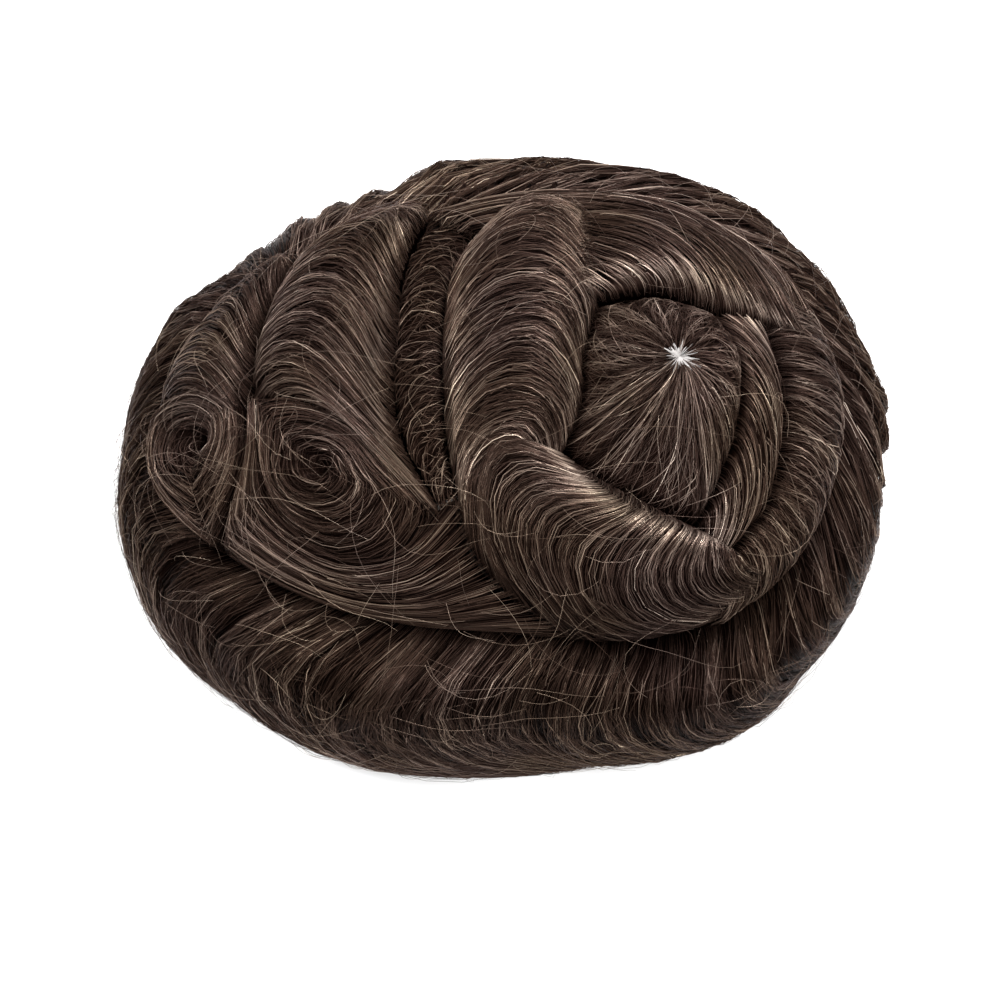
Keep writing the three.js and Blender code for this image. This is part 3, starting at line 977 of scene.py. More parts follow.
def sheet_faces(rows: int, columns: int, closed: bool) -> list[list[int]]:
    """Faces of a closed solid between an upper and a lower sheet.

    Args:
        rows: Rows of points along each sheet.
        columns: Points across each sheet.
        closed: Whether the rows close on themselves. The sheets then end at an upper and a lower eye point.

    Returns:
        Faces by point, the upper sheet's points first, then the lower sheet's, then the eye's.
    """
    under = rows * columns
    faces: list[list[int]] = []

    def at(i: int, j: int) -> int:
        """Upper point of a row and column."""
        return (i % rows) * columns + j

    for i in range(rows if closed else rows - 1):
        for j in range(columns - 1):
            quad = [at(i, j), at(i, j + 1), at(i + 1, j + 1), at(i + 1, j)]
            faces.append(quad)
            faces.append([corner + under for corner in reversed(quad)])
        a, b = at(i + 1, columns - 1), at(i, columns - 1)
        faces.append([a, b, b + under, a + under])
        c, d = at(i, 0), at(i + 1, 0)
        if closed:
            faces.append([2 * under, c, d])
            faces.append([2 * under + 1, d + under, c + under])
        else:
            faces.append([c, d, d + under, c + under])
    if not closed:
        for j in range(columns - 1):
            a, b = at(0, j + 1), at(0, j)
            faces.append([a, b, b + under, a + under])
            c, d = at(rows - 1, j), at(rows - 1, j + 1)
            faces.append([c, d, d + under, c + under])
    return faces


def outward(points: Array, faces: list[list[int]]) -> list[list[int]]:
    """The faces, all turned if they enclose a negative volume."""
    volume = 0.0
    for face in faces:
        for k in range(1, len(face) - 1):
            volume += float(points[face[0]] @ np.cross(points[face[k]], points[face[k + 1]]))
    return [face[::-1] for face in faces] if volume < 0 else faces


def add_object(name: str, data: bpy.types.ID) -> bpy.types.Object:
    """A new object in the scene."""
    obj = bpy.data.objects.new(name, data)
    bpy.context.collection.objects.link(obj)
    return obj


def add_solid(name: str, points: Array, faces: list[list[int]], finish: bpy.types.Material) -> bpy.types.Object:
    """A new smooth object of one material, its faces turned outwards."""
    mesh = bpy.data.meshes.new(name)
    mesh.from_pydata(points.tolist(), [], outward(points, faces))
    mesh.shade_smooth()
    mesh.materials.append(finish)
    return add_object(name, mesh)


CORE_INSET = 0.012
CORE_ROWS = 16
CORE_COLUMNS = 10
CORE_FINEST = 2.4
EYE_FADE = 0.3
ROOT_GAP = 1.0 * MM
FEWEST_HAIRS = 60
HAIR_SIDES = 3


@dataclass
class LockHair:
    """The hair of one lock: a furrowed core with hairs combed over it, which stands for the lock's solid."""

    lock: Lock
    comb: Comb
    density: float = 1.9e5
    lightness: float = 0.0
    # painted shade towards the seams along the lock's edges
    seam_shade: float = 0.42
    # painted highlights on lit ridges and painted shade in hollows, across the lock by w
    painted_light: tuple[tuple[float, float], ...] = ((0.0, 0.0), (1.0, 0.0))
    style: HairStyle = field(default_factory=HairStyle)

    def furrows(self, rng: np.random.Generator) -> Furrows:
        """The lock's furrows."""
        length, width, _ = self.lock.size()
        phases = rng.random((len(FURROW_OCTAVES), 3)) * 2 * math.pi
        across, along = (length, width) if self.comb.runs_across else (width, length)
        return Furrows(across, along, self.style.furrow_width, phases, self.style.shingle_width)

    def tone(self, w: Array) -> Array:
        """How much lighter than usual the lock is at w: its own lightness plus its painted highlights and painted
        shade.
        """
        return self.lightness + np.interp(w, *zip(*self.painted_light))

    def edge_light(self, w: Array) -> Array:
        """Shares of painted light: 1 in the open, less towards the furrow along each edge, as painted shade in the
        seams.
        """
        _, width, _ = self.lock.size()
        gap = (1 - w) if self.lock.closed else np.minimum(w, 1 - w)
        return 1 - self.seam_shade * np.clip(1 - gap * width / self.style.edge_width, 0, 1) ** 1.5

    def grain(self, t: Array, w: Array, furrows: Furrows) -> Array:
        """Places in the pattern of fine hairs, close across the hairs and long along them.

        Args:
            t: Shares along the lock.
            w: Shares across it.
            furrows: The lock's furrows.

        Returns:
            Places of the pattern. They close on themselves where the lock does.
        """
        x, y = self.comb.grain(t, w)
        fine = furrows.across / self.style.grain_fine
        coarse = furrows.along / self.style.grain_coarse
        if not self.lock.closed:
            return np.stack([x * fine, y * coarse, 0 * x], axis=-1)
        if self.comb.runs_across:
            ring, angle = fine / (2 * math.pi), 2 * math.pi * x
            return np.stack([ring * np.cos(angle), ring * np.sin(angle), y * coarse], axis=-1)
        ring, angle = coarse / (2 * math.pi), 2 * math.pi * y
        return np.stack([x * fine, ring * np.cos(angle), ring * np.sin(angle)], axis=-1)

    def add_core(self, mesh: HairMesh, furrows: Furrows) -> None:
        """Adds the closed surface that fills the lock under its hairs."""
        length, width, _ = self.lock.size()
        style = self.style
        step_t, step_w = style.coarse_step, style.fine_step
        if self.comb.runs_across:
            step_t, step_w = step_w, step_t
        rows = max(CORE_ROWS, round(length / step_t))
        columns = max(CORE_COLUMNS, round(width / step_w))
        if self.lock.closed:
            spans = [np.arange(rows) / rows, np.linspace(0, 1 - CORE_INSET, columns + 1)[1:]]
        else:
            inset = 0.0 if self.lock.joined else CORE_INSET
            spans = [np.linspace(inset, 1 - inset, rows), np.linspace(CORE_INSET, 1 - CORE_INSET, columns)]
        t, w = np.meshgrid(*spans, indexing="ij")
        x, y = self.comb.grain(t, w)
        height = furrows.height(x, y, finest=CORE_FINEST * style.fine_step)
        fade = np.clip(w / EYE_FADE, 0, 1) if self.lock.closed else 1.0
        lift = style.furrow * height * fade + style.shingle * furrows.shingle(x, y) - style.core_depth
        upper = self.lock.points(t, w, lift)
        lower = SHELL.points(self.lock.place(t, w), np.zeros_like(t), ROOT_GAP)
        points = [upper.reshape(-1, 3), lower.reshape(-1, 3)]
        # Painted shade: the core is darker in its furrows and towards its seams, with the lock's painted light added.
        lit = (SHADING.core + SHADING.core_strand * height) * self.edge_light(w)
        shade = np.maximum(lit + SHADING.core_tone * self.tone(w), SHADING.core_least)
        # Painted shade: the core's walls at its ends and edges and its lower sheet are black, as the shade between
        # locks.
        if not self.lock.closed:
            shade[[0, -1]] = 0
            shade[:, 0] = 0
        shade[:, -1] = 0
        grain = self.grain(t, w, furrows)
        shades = [shade.ravel(), np.zeros(shade.size)]
        grains = [grain.reshape(-1, 3)] * 2
        if self.lock.closed:
            eye = self.lock.place(np.zeros(1), np.zeros(1))
            eye_rise = self.lock.rise(np.zeros(1), np.zeros(1))
            points.append(SHELL.points(eye, eye_rise, -style.core_depth))
            points.append(SHELL.points(eye, 0 * eye_rise, ROOT_GAP))
            # painted shade at the eye
            shades.append(np.full(2, SHADING.eye))
            grains.append(np.zeros((2, 3)))
        joined = np.concatenate(points)
        faces = outward(joined, sheet_faces(rows, columns, self.lock.closed))
        mesh.add_core(joined, faces, np.clip(np.concatenate(shades), 0, 1), np.concatenate(grains))

    def add_hairs(self, mesh: HairMesh, furrows: Furrows, rng: np.random.Generator) -> None:
        """Combs hairs over the lock."""
        style = self.style
        _, _, area = self.lock.size()
        paths = self.comb.paths(max(int(area * self.density), FEWEST_HAIRS), rng)
        count, steps = paths.t.shape
        s = np.linspace(0, 1, steps)
        x, y = self.comb.grain(paths.t, paths.w)
        strand = furrows.height(x, y)
        layer = style.stand - style.layer * rng.random(count) ** 1.3
        lift = layer[:, None] + style.furrow * strand * style.furrow_share + style.shingle * furrows.shingle(x, y)
        lift = lift - style.root_dip * np.maximum(1 - s / style.dip_share, 0) ** 2
        lift = lift - style.tip_dip * np.maximum(1 - (1 - s) / style.dip_share, 0) ** 2 * rng.random((count, 1))
        flying = rng.random(count) < style.flyaways
        low, more = style.flyaway_lifts
        fly = flying[:, None] * (low + more * rng.random((count, 1))) * style.flyaway_lift
        t = paths.t + flying[:, None] * rng.normal(0, style.flyaway_stray, (count, 1)) * (s - 0.5)
        lift = lift + fly * np.sin(math.pi * s) * s
        points = self.lock.points(t, paths.w, lift)
        points[..., 2] = np.maximum(points[..., 2], LOWEST_HAIR)
        thin, more = style.radii
        thickness = style.radius * (thin + more * rng.random(count)) * np.where(flying, style.flyaway_radius, 1.0)
        rooted = 1 - style.root_taper + style.root_taper * np.minimum(s / style.root_taper_share, 1)
        radius = thickness[:, None] * (1 - style.tip_taper * s ** 3) * rooted
        # Painted shade: hairs of deeper layers, hairs in furrows and hairs near the seams are darker, and the lock's
        # painted highlights and shade are added.
        own = rng.normal(0, SHADING.scatter, count) + SHADING.depth * (layer / style.layer)
        own = np.where(rng.random(count) < SHADING.light_share, own + SHADING.light, own)
        shade = SHADING.hair + own[:, None] + SHADING.strand * strand + SHADING.flyaway * flying[:, None]
        shade = shade * self.edge_light(np.clip(paths.w, 0, 1)) + self.tone(paths.w)
        mesh.add_hairs(points, radius, np.clip(shade, 0, 1), s[None, :])

    def build(self, seed: int) -> bpy.types.Object:
        """Builds the lock's hair as one plain mesh.

        Args:
            seed: Seed of the random draws.

        Returns:
            The object.
        """
        mesh = HairMesh()
        rng = np.random.default_rng(seed)
        furrows = self.furrows(rng)
        self.add_core(mesh, furrows)
        self.add_hairs(mesh, furrows, rng)
        name = f"{self.lock.name}_hair"
        return add_object(name, mesh.to_mesh(name))


class NodeKit:
    """Short ways to add nodes to a tree."""

    def __init__(self, tree: bpy.types.NodeTree) -> None:
        """Works on a tree."""
        self.tree = tree

    def add(self, kind: str, inputs: dict[str | int, object] | None = None, **settings: object) -> bpy.types.Node:
        """Adds a node.

        Args:
            kind: Its type.
            inputs: A socket to join, or a value, for each input by its name or number.
            settings: Its own settings.

        Returns:
            The node.
        """
        node = self.tree.nodes.new(kind)
        for name, value in settings.items():
            setattr(node, name, value)
        self.feed(node, inputs or {})
        return node

    def feed(self, node: bpy.types.Node, inputs: dict[str | int, object]) -> None:
        """Joins a socket to each input, or sets its value."""
        for name, value in inputs.items():
            if isinstance(value, bpy.types.NodeSocket):
                self.tree.links.new(value, node.inputs[name])
            else:
                node.inputs[name].default_value = value

    def ramp(self, factor: bpy.types.NodeSocket, stops: Stops) -> bpy.types.NodeSocket:
        """A colour ramp over a factor.

        Args:
            factor: Socket that drives the ramp.
            stops: Places from 0 to 1 with their colours.

        Returns:
            The ramp's colour.
        """
        node = self.add("ShaderNodeValToRGB", {"Fac": factor})
        elements = node.color_ramp.elements
        while len(elements) < len(stops):
            elements.new(0.5)
        for element, (place, colour) in zip(elements, stops):
            element.position = place
            element.color = (*colour, 1)
        return node.outputs["Color"]


class StrandTree:
    """Geometry Nodes tree that gives every edge chain of a mesh a round section and keeps its faces as a core."""

    def __init__(self) -> None:
        """Builds the tree."""
        self.tree = bpy.data.node_groups.new("hair_strands", "GeometryNodeTree")
        self.tree.is_modifier = True
        self.kit = NodeKit(self.tree)
        face = self.tree.interface
        face.new_socket("Geometry", in_out="INPUT", socket_type="NodeSocketGeometry")
        self.sides = face.new_socket("Sides", in_out="INPUT", socket_type="NodeSocketInt")
        self.hair = face.new_socket("Hair", in_out="INPUT", socket_type="NodeSocketMaterial")
        self.core = face.new_socket("Core", in_out="INPUT", socket_type="NodeSocketMaterial")
        face.new_socket("Geometry", in_out="OUTPUT", socket_type="NodeSocketGeometry")
        self._wire()

    def _value(self, name: str) -> bpy.types.NodeSocket:
        """Output that reads a point attribute."""
        node = self.kit.add("GeometryNodeInputNamedAttribute", {"Name": name}, data_type="FLOAT")
        return node.outputs["Attribute"]

    def _is_core(self) -> bpy.types.NodeSocket:
        """Output that is true on the core."""
        inputs = {0: self._value("core"), 1: 0.5}
        node = self.kit.add("FunctionNodeCompare", inputs, data_type="FLOAT", operation="GREATER_THAN")
        return node.outputs["Result"]

    def _wire(self) -> None:
        """Places the nodes and joins them."""
        add = self.kit.add
        source = add("NodeGroupInput").outputs
        split = add("GeometryNodeSeparateGeometry", {"Geometry": source["Geometry"], "Selection": self._is_core()},
                    domain="POINT").outputs
        curve = add("GeometryNodeMeshToCurve", {"Mesh": split["Inverted"]}).outputs["Curve"]
        ring = add("GeometryNodeCurvePrimitiveCircle", {"Resolution": source["Sides"], "Radius": 1.0}).outputs["Curve"]
        sweep = add("GeometryNodeCurveToMesh", {
            "Curve": curve, "Scale": self._value("radius"), "Profile Curve": ring, "Fill Caps": True,
        })
        join = add("GeometryNodeJoinGeometry", {"Geometry": split["Selection"]})
        self.kit.feed(join, {"Geometry": sweep.outputs["Mesh"]})
        smooth = add("GeometryNodeSetShadeSmooth", {"Geometry": join.outputs["Geometry"]})
        real = add("GeometryNodeRealizeInstances", {"Geometry": smooth.outputs["Geometry"]})
        hair = add("GeometryNodeSetMaterial", {"Geometry": real.outputs["Geometry"], "Material": source["Hair"]})
        core = add("GeometryNodeSetMaterial", {
            "Geometry": hair.outputs["Geometry"], "Selection": self._is_core(), "Material": source["Core"],
        })
        add("NodeGroupOutput", {"Geometry": core.outputs["Geometry"]})

    def apply(self, obj: bpy.types.Object, hair: bpy.types.Material, core: bpy.types.Material) -> int:
        """Sweeps an object's edge chains and makes the result its plain mesh.

        Args:
            obj: Object whose mesh has the chains and faces.
            hair: Material of the hairs.
            core: Material of the core.

        Returns:
            Number of triangles.
        """
        modifier = obj.modifiers.new("strands", "NODES")
        modifier.node_group = self.tree
        modifier[self.sides.identifier] = HAIR_SIDES
        modifier[self.hair.identifier] = hair
        modifier[self.core.identifier] = core
        graph = bpy.context.evaluated_depsgraph_get()
        evaluated = obj.evaluated_get(graph)
        mesh = bpy.data.meshes.new_from_object(evaluated, preserve_all_data_layers=True, depsgraph=graph)
        obj.modifiers.remove(modifier)
        old = obj.data
        obj.data = mesh
        bpy.data.meshes.remove(old)
        mesh.name = obj.name
        mesh.calc_loop_triangles()
        return len(mesh.loop_triangles)


# Finishes

@dataclass(frozen=True)
class HairTone:
    """Shader node group that turns a hair's shade into its colour and roughness."""

    stops: Stops = (
        (0.0, (0.0004, 0.0001, 0.0001)),
        (0.3, (0.0040, 0.0019, 0.0014)),
        (0.6, (0.036, 0.0222, 0.0172)),
        (0.85, (0.185, 0.142, 0.113)),
        (1.0, (0.48, 0.40, 0.32)),
    )
    tints: Stops = (
        (0.4, (0.96, 0.92, 0.96)),
        (0.6, (1.0, 0.95, 0.87)),
    )
    tint_scale: float = 26.0
    tip_light: float = 0.08
    dark_roughness: float = 0.36
    light_roughness: float = 0.26

    def group(self) -> bpy.types.NodeTree:
        """Builds the group."""
        tree = bpy.data.node_groups.new("hair_tone", "ShaderNodeTree")
        tree.interface.new_socket("Shade", in_out="INPUT", socket_type="NodeSocketFloat")
        tree.interface.new_socket("Along", in_out="INPUT", socket_type="NodeSocketFloat")
        tree.interface.new_socket("Color", in_out="OUTPUT", socket_type="NodeSocketColor")
        tree.interface.new_socket("Roughness", in_out="OUTPUT", socket_type="NodeSocketFloat")
        kit = NodeKit(tree)
        source = kit.add("NodeGroupInput").outputs
        inputs = {0: source["Along"], 1: self.tip_light, 2: source["Shade"]}
        tip = kit.add("ShaderNodeMath", inputs, operation="MULTIPLY_ADD").outputs[0]
        place = kit.add("ShaderNodeTexCoord").outputs["Object"]
        patches = kit.add("ShaderNodeTexNoise", {"Vector": place, "Scale": self.tint_scale}).outputs["Fac"]
        inputs = {0: 1.0, 6: kit.ramp(tip, self.stops), 7: kit.ramp(patches, self.tints)}
        tint = kit.add("ShaderNodeMix", inputs, data_type="RGBA", blend_type="MULTIPLY").outputs[2]
        rough = kit.add("ShaderNodeMapRange", {
            "Value": source["Shade"], "To Min": self.dark_roughness, "To Max": self.light_roughness,
        }).outputs["Result"]
        kit.add("NodeGroupOutput", {"Color": tint, "Roughness": rough})
        return tree


@dataclass
class Finishes:
    """The piece's materials."""

    hair_ior: float = 1.45
    hair_sheen: tuple[float, ...] = (0.42, 0.3, 0.24, 1)
    hair: bpy.types.Material = field(init=False)
    core: bpy.types.Material = field(init=False)
    skin: bpy.types.Material = field(init=False)
    parting: bpy.types.Material = field(init=False)

    def __post_init__(self) -> None:
        """Makes every material."""
        tone = HairTone().group()
        self.hair = self._hair(tone)
        self.core = self._core(tone)
        self.skin = self._skin()
        self.parting = self._parting()

    @staticmethod
    def _base(name: str) -> tuple[bpy.types.Material, NodeKit, bpy.types.Node]:
        """A material with its node kit and its shader."""
        material = bpy.data.materials.new(name)
        material.use_nodes = True
        kit = NodeKit(material.node_tree)
        return material, kit, material.node_tree.nodes["Principled BSDF"]

    @staticmethod
    def _attribute(kit: NodeKit, name: str, output: str = "Fac") -> bpy.types.NodeSocket:
        """Output that reads an attribute of the piece."""
        return kit.add("ShaderNodeAttribute", attribute_name=name).outputs[output]

    def _gloss(self, kit: NodeKit, shader: bpy.types.Node, group: bpy.types.Node, metallic: float, level: float
               ) -> None:
        """Gives a shader the group's colour and roughness, and a hair's gloss."""
        kit.feed(shader, {
            "Base Color": group.outputs["Color"], "Roughness": group.outputs["Roughness"], "IOR": self.hair_ior,
            "Metallic": metallic, "Specular IOR Level": level, "Specular Tint": self.hair_sheen,
        })

    def _hair(self, tone: bpy.types.NodeTree) -> bpy.types.Material:
        """Hairs, whose colour follows each hair's shade."""
        material, kit, shader = self._base("hair_strands")
        inputs = {"Shade": self._attribute(kit, "shade"), "Along": self._attribute(kit, "along")}
        group = kit.add("ShaderNodeGroup", inputs, node_tree=tone)
        self._gloss(kit, shader, group, metallic=0.4, level=0.14)
        return material

    def _core(self, tone: bpy.types.NodeTree) -> bpy.types.Material:
        """Hair in the depth, drawn as fine lines along the grain."""
        material, kit, shader = self._base("hair_core")
        grain = self._attribute(kit, "grain", "Vector")
        lines = kit.add("ShaderNodeTexNoise", {
            "Vector": grain, "Scale": 1.0, "Detail": 2.0, "Roughness": 0.6,
        }).outputs["Fac"]
        contrast = kit.add("ShaderNodeMath", {0: lines, 1: 3.2, 2: -0.6}, operation="MULTIPLY_ADD").outputs[0]
        inputs = {0: contrast, 1: self._attribute(kit, "shade")}
        shade = kit.add("ShaderNodeMath", inputs, operation="MULTIPLY", use_clamp=True).outputs[0]
        group = kit.add("ShaderNodeGroup", {"Shade": shade, "Along": 0.0}, node_tree=tone)
        bump = kit.add("ShaderNodeBump", {"Distance": 0.4 * MM, "Strength": 0.8, "Height": lines})
        kit.feed(shader, {"Normal": bump.outputs["Normal"]})
        self._gloss(kit, shader, group, metallic=0.3, level=0.05)
        return material

    def _parting(self) -> bpy.types.Material:
        """Bare skin at the crown."""
        material, kit, shader = self._base("crown_skin")
        kit.feed(shader, {"Base Color": (0.34, 0.32, 0.31, 1), "Roughness": 0.5})
        return material

    def _skin(self) -> bpy.types.Material:
        """Thin pale film with the fine grid of points where the hair is knotted in."""
        material, kit, shader = self._base("skin_film")
        place = kit.add("ShaderNodeTexCoord").outputs["Object"]
        knots = kit.add("ShaderNodeTexVoronoi", {"Scale": 620, "Vector": place}).outputs["Distance"]
        stops = ((0.12, (0.05, 0.035, 0.028)), (0.3, (0.80, 0.73, 0.67)))
        kit.feed(shader, {"Base Color": kit.ramp(knots, stops), "Roughness": 0.42})
        return material


@dataclass
class SkinFilm:
    """The thin domed base that the hair is knotted into."""

    sectors: int = 128
    rings: int = 36

    def _sheet(self, dome: Dome) -> Array:
        """Points of one side of the film, ring by ring from the top."""
        rim = dome.polar_at_height(SKIN_RIM_HEIGHT)
        azimuth = np.arange(self.sectors) / self.sectors * 2 * math.pi
        polar = np.linspace(0, rim, self.rings + 1)[1:]
        return dome.points(*np.meshgrid(azimuth, polar, indexing="ij")).reshape(-1, 3)

    def build(self, finish: bpy.types.Material) -> bpy.types.Object:
        """Builds the film.

        Args:
            finish: Its material.

        Returns:
            The object.
        """
        top = np.array([[0, 0, SKIN_OUTER.z], [0, 0, SKIN_INNER.z]])
        points = np.concatenate([self._sheet(SKIN_OUTER), self._sheet(SKIN_INNER), top])
        return add_solid("skin_film", points, sheet_faces(self.sectors, self.rings, True), finish)


@dataclass
class CrownSkin:
    """The pale skin that shows between the roots of the hairs at the crown, longest towards the streak's azimuth."""

    lock: RoundLock
    core: float = 0.4 * MM
    rays: int = 32
    ray_width: float = 1.7
    longest: float = 6.5 * MM
    shortest: float = 0.3
    streak: float = -38.0
    streak_width: float = 14.0
    streak_length: float = 8.0 * MM
    lift: float = -0.1 * MM
    depth: float = -1.6 * MM
    sectors: int = 480
    rings: int = 6
    seed: int = 77

    def reach(self, t: Array) -> Array:
        """How far the skin shows from the eye, as a share of the way to the lock's edge."""
        edge = self.lock.edge.at(t) - np.array(self.lock.eye)
        angle = np.degrees(np.arctan2(edge[:, 1], edge[:, 0]))
        rng = np.random.default_rng(self.seed)
        reach = np.full(len(t), self.core)
        for direction in spread(self.rays, rng, 0, 360):
            off_streak = abs((direction - self.streak + 180) % 360 - 180)
            longest = self.streak_length if off_streak < self.streak_width else self.longest
            turn = (angle - direction + 180) % 360 - 180
            length = longest * (self.shortest + (1 - self.shortest) * rng.random())
            reach = np.maximum(reach, self.core + length * np.exp(-((turn / self.ray_width) ** 2)))
        return reach / (self.lock.mean_reach * SHELL.map_scale)

    def build(self, finish: bpy.types.Material) -> bpy.types.Object:
        """Builds the patch.

        Args:
            finish: Its material.

        Returns:
            The object.
        """
        t = np.arange(self.sectors) / self.sectors
        w = self.reach(t)[:, None] * np.linspace(0, 1, self.rings + 1)[1:]
        t = np.broadcast_to(t[:, None], w.shape)
        sheets = [self.lock.points(t, w, lift).reshape(-1, 3) for lift in (self.lift, self.depth)]
        eyes = [self.lock.points(np.zeros(1), np.zeros(1), lift) for lift in (self.lift, self.depth)]
        points = np.concatenate(sheets + eyes)
        return add_solid("crown_skin", points, sheet_faces(self.sectors, self.rings, True), finish)


@dataclass
class LooseHairs:
    """Thin hairs that lie across the locks, and some that stand out past the outline.

    Angles are in degrees, and a pair is the least and what a random draw adds to it.
    """

    across: int = 460
    outside: int = 170
    shortest: float = 14 * MM
    longest: float = 44 * MM
    radius: float = 0.055 * MM
    tip_taper: float = 0.6
    shades: tuple[float, float] = (0.55, 0.3)
    bend: float = 1.1
    wave: float = 0.35
    front: float = 205.0
    front_width: float = 45.0
    front_share: float = 0.3
    heading: float = 0.75
    outer_heading: float = 0.5
    outer_places: tuple[float, float] = (0.8, 0.12)
    inner_place: float = 0.9
    farthest: float = 0.94
    outer_lifts: tuple[float, float] = (0.8, 2.2)
    inner_lifts: tuple[float, float] = (1.2, 1.0)
    stand: float = 4.0
    steps: int = 8
    seed: int = 913

    def _courses(self, rng: np.random.Generator, places: Array, headings: Array) -> Array:
        """Curved courses in the map from their middles, with their headings in radians."""
        count = len(places)
        length = self.shortest + (self.longest - self.shortest) * rng.random(count) ** 1.6
        turn = rng.normal(0, self.bend, (count, 1))
        s = np.linspace(-0.5, 0.5, self.steps + 1)
        angle = headings[:, None] + turn * s + rng.normal(0, self.wave, (count, 1)) * np.sin(5 * s)
        stride = (length / SHELL.map_scale / self.steps)[:, None, None]
        course = np.cumsum(np.stack([np.cos(angle), np.sin(angle)], axis=-1) * stride, axis=1)
        return places[:, None, :] + course - course[:, self.steps // 2][:, None, :]

    def build(self) -> bpy.types.Object:
        """Builds the hairs' courses.

        Returns:
            The object, its hairs still bare edges.
        """
        rng = np.random.default_rng(self.seed)
        count = self.across + self.outside
        outer = np.arange(count) >= self.across
        at_front = rng.random(count) < self.front_share
        azimuth = np.where(at_front, rng.normal(self.front, self.front_width, count), 360 * rng.random(count))
        out, more = self.outer_places
        share = np.where(outer, out + more * rng.random(count), self.inner_place * np.sqrt(rng.random(count)))
        stray = rng.normal(0, self.heading, count) * np.where(outer, self.outer_heading, 1.0)
        course = self._courses(rng, polar_places(azimuth, share), np.radians(azimuth + 90) + stray)
        reach = np.linalg.norm(course, axis=-1, keepdims=True)
        course = course * np.minimum(1, self.farthest / np.maximum(reach, 1e-6))
        s = np.linspace(0, 1, self.steps + 1)
        (out, out_more), (low, low_more) = self.outer_lifts, self.inner_lifts
        lift = np.where(outer, out + out_more * rng.random(count), low + low_more * rng.random(count)) * MM
        stand = np.where(outer, self.stand * rng.random(count) ** 2, 0.0) * MM
        turn = np.degrees(np.arctan2(course[..., 1], course[..., 0]))
        inner = groove_share(turn)
        down = (np.linalg.norm(course, axis=-1) - inner) / (1 - inner)
        lifts = lift[:, None] * (2 * np.sin(math.pi * s) - 1) + stand[:, None] * s ** 2 + rim_swell(turn, down)
        points = SHELL.points(course, np.full(course.shape[:2], 1.0), lifts)
        points[..., 2] = np.maximum(points[..., 2], LOWEST_HAIR)
        radius = np.broadcast_to(self.radius * (1 - self.tip_taper * s ** 2), points.shape[:2])
        dark, more = self.shades
        mesh = HairMesh()
        mesh.add_hairs(points, radius, (dark + more * rng.random(count))[:, None], s[None, :])
        return add_object("loose_hairs", mesh.to_mesh("loose_hairs"))


# The piece

def band(name: str, rail_a: Parts, rail_b: Parts, start: Parts, end: Parts, *rises: float) -> BandLock:
    """A band lock from its table row.

    Args:
        name: The CAD node's name.
        rail_a: Parts of the rail at w = 0.
        rail_b: Parts of the rail at w = 1.
        start: Parts of the end at t = 0.
        end: Parts of the end at t = 1.
        rises: Rise at rail A and rail B, rise of the crest, its place across, and the drop towards the ends.

    Returns:
        The lock.
    """
    return BandLock(name, Side(rail_a), Side(rail_b), Side(start), Side(end), *rises)


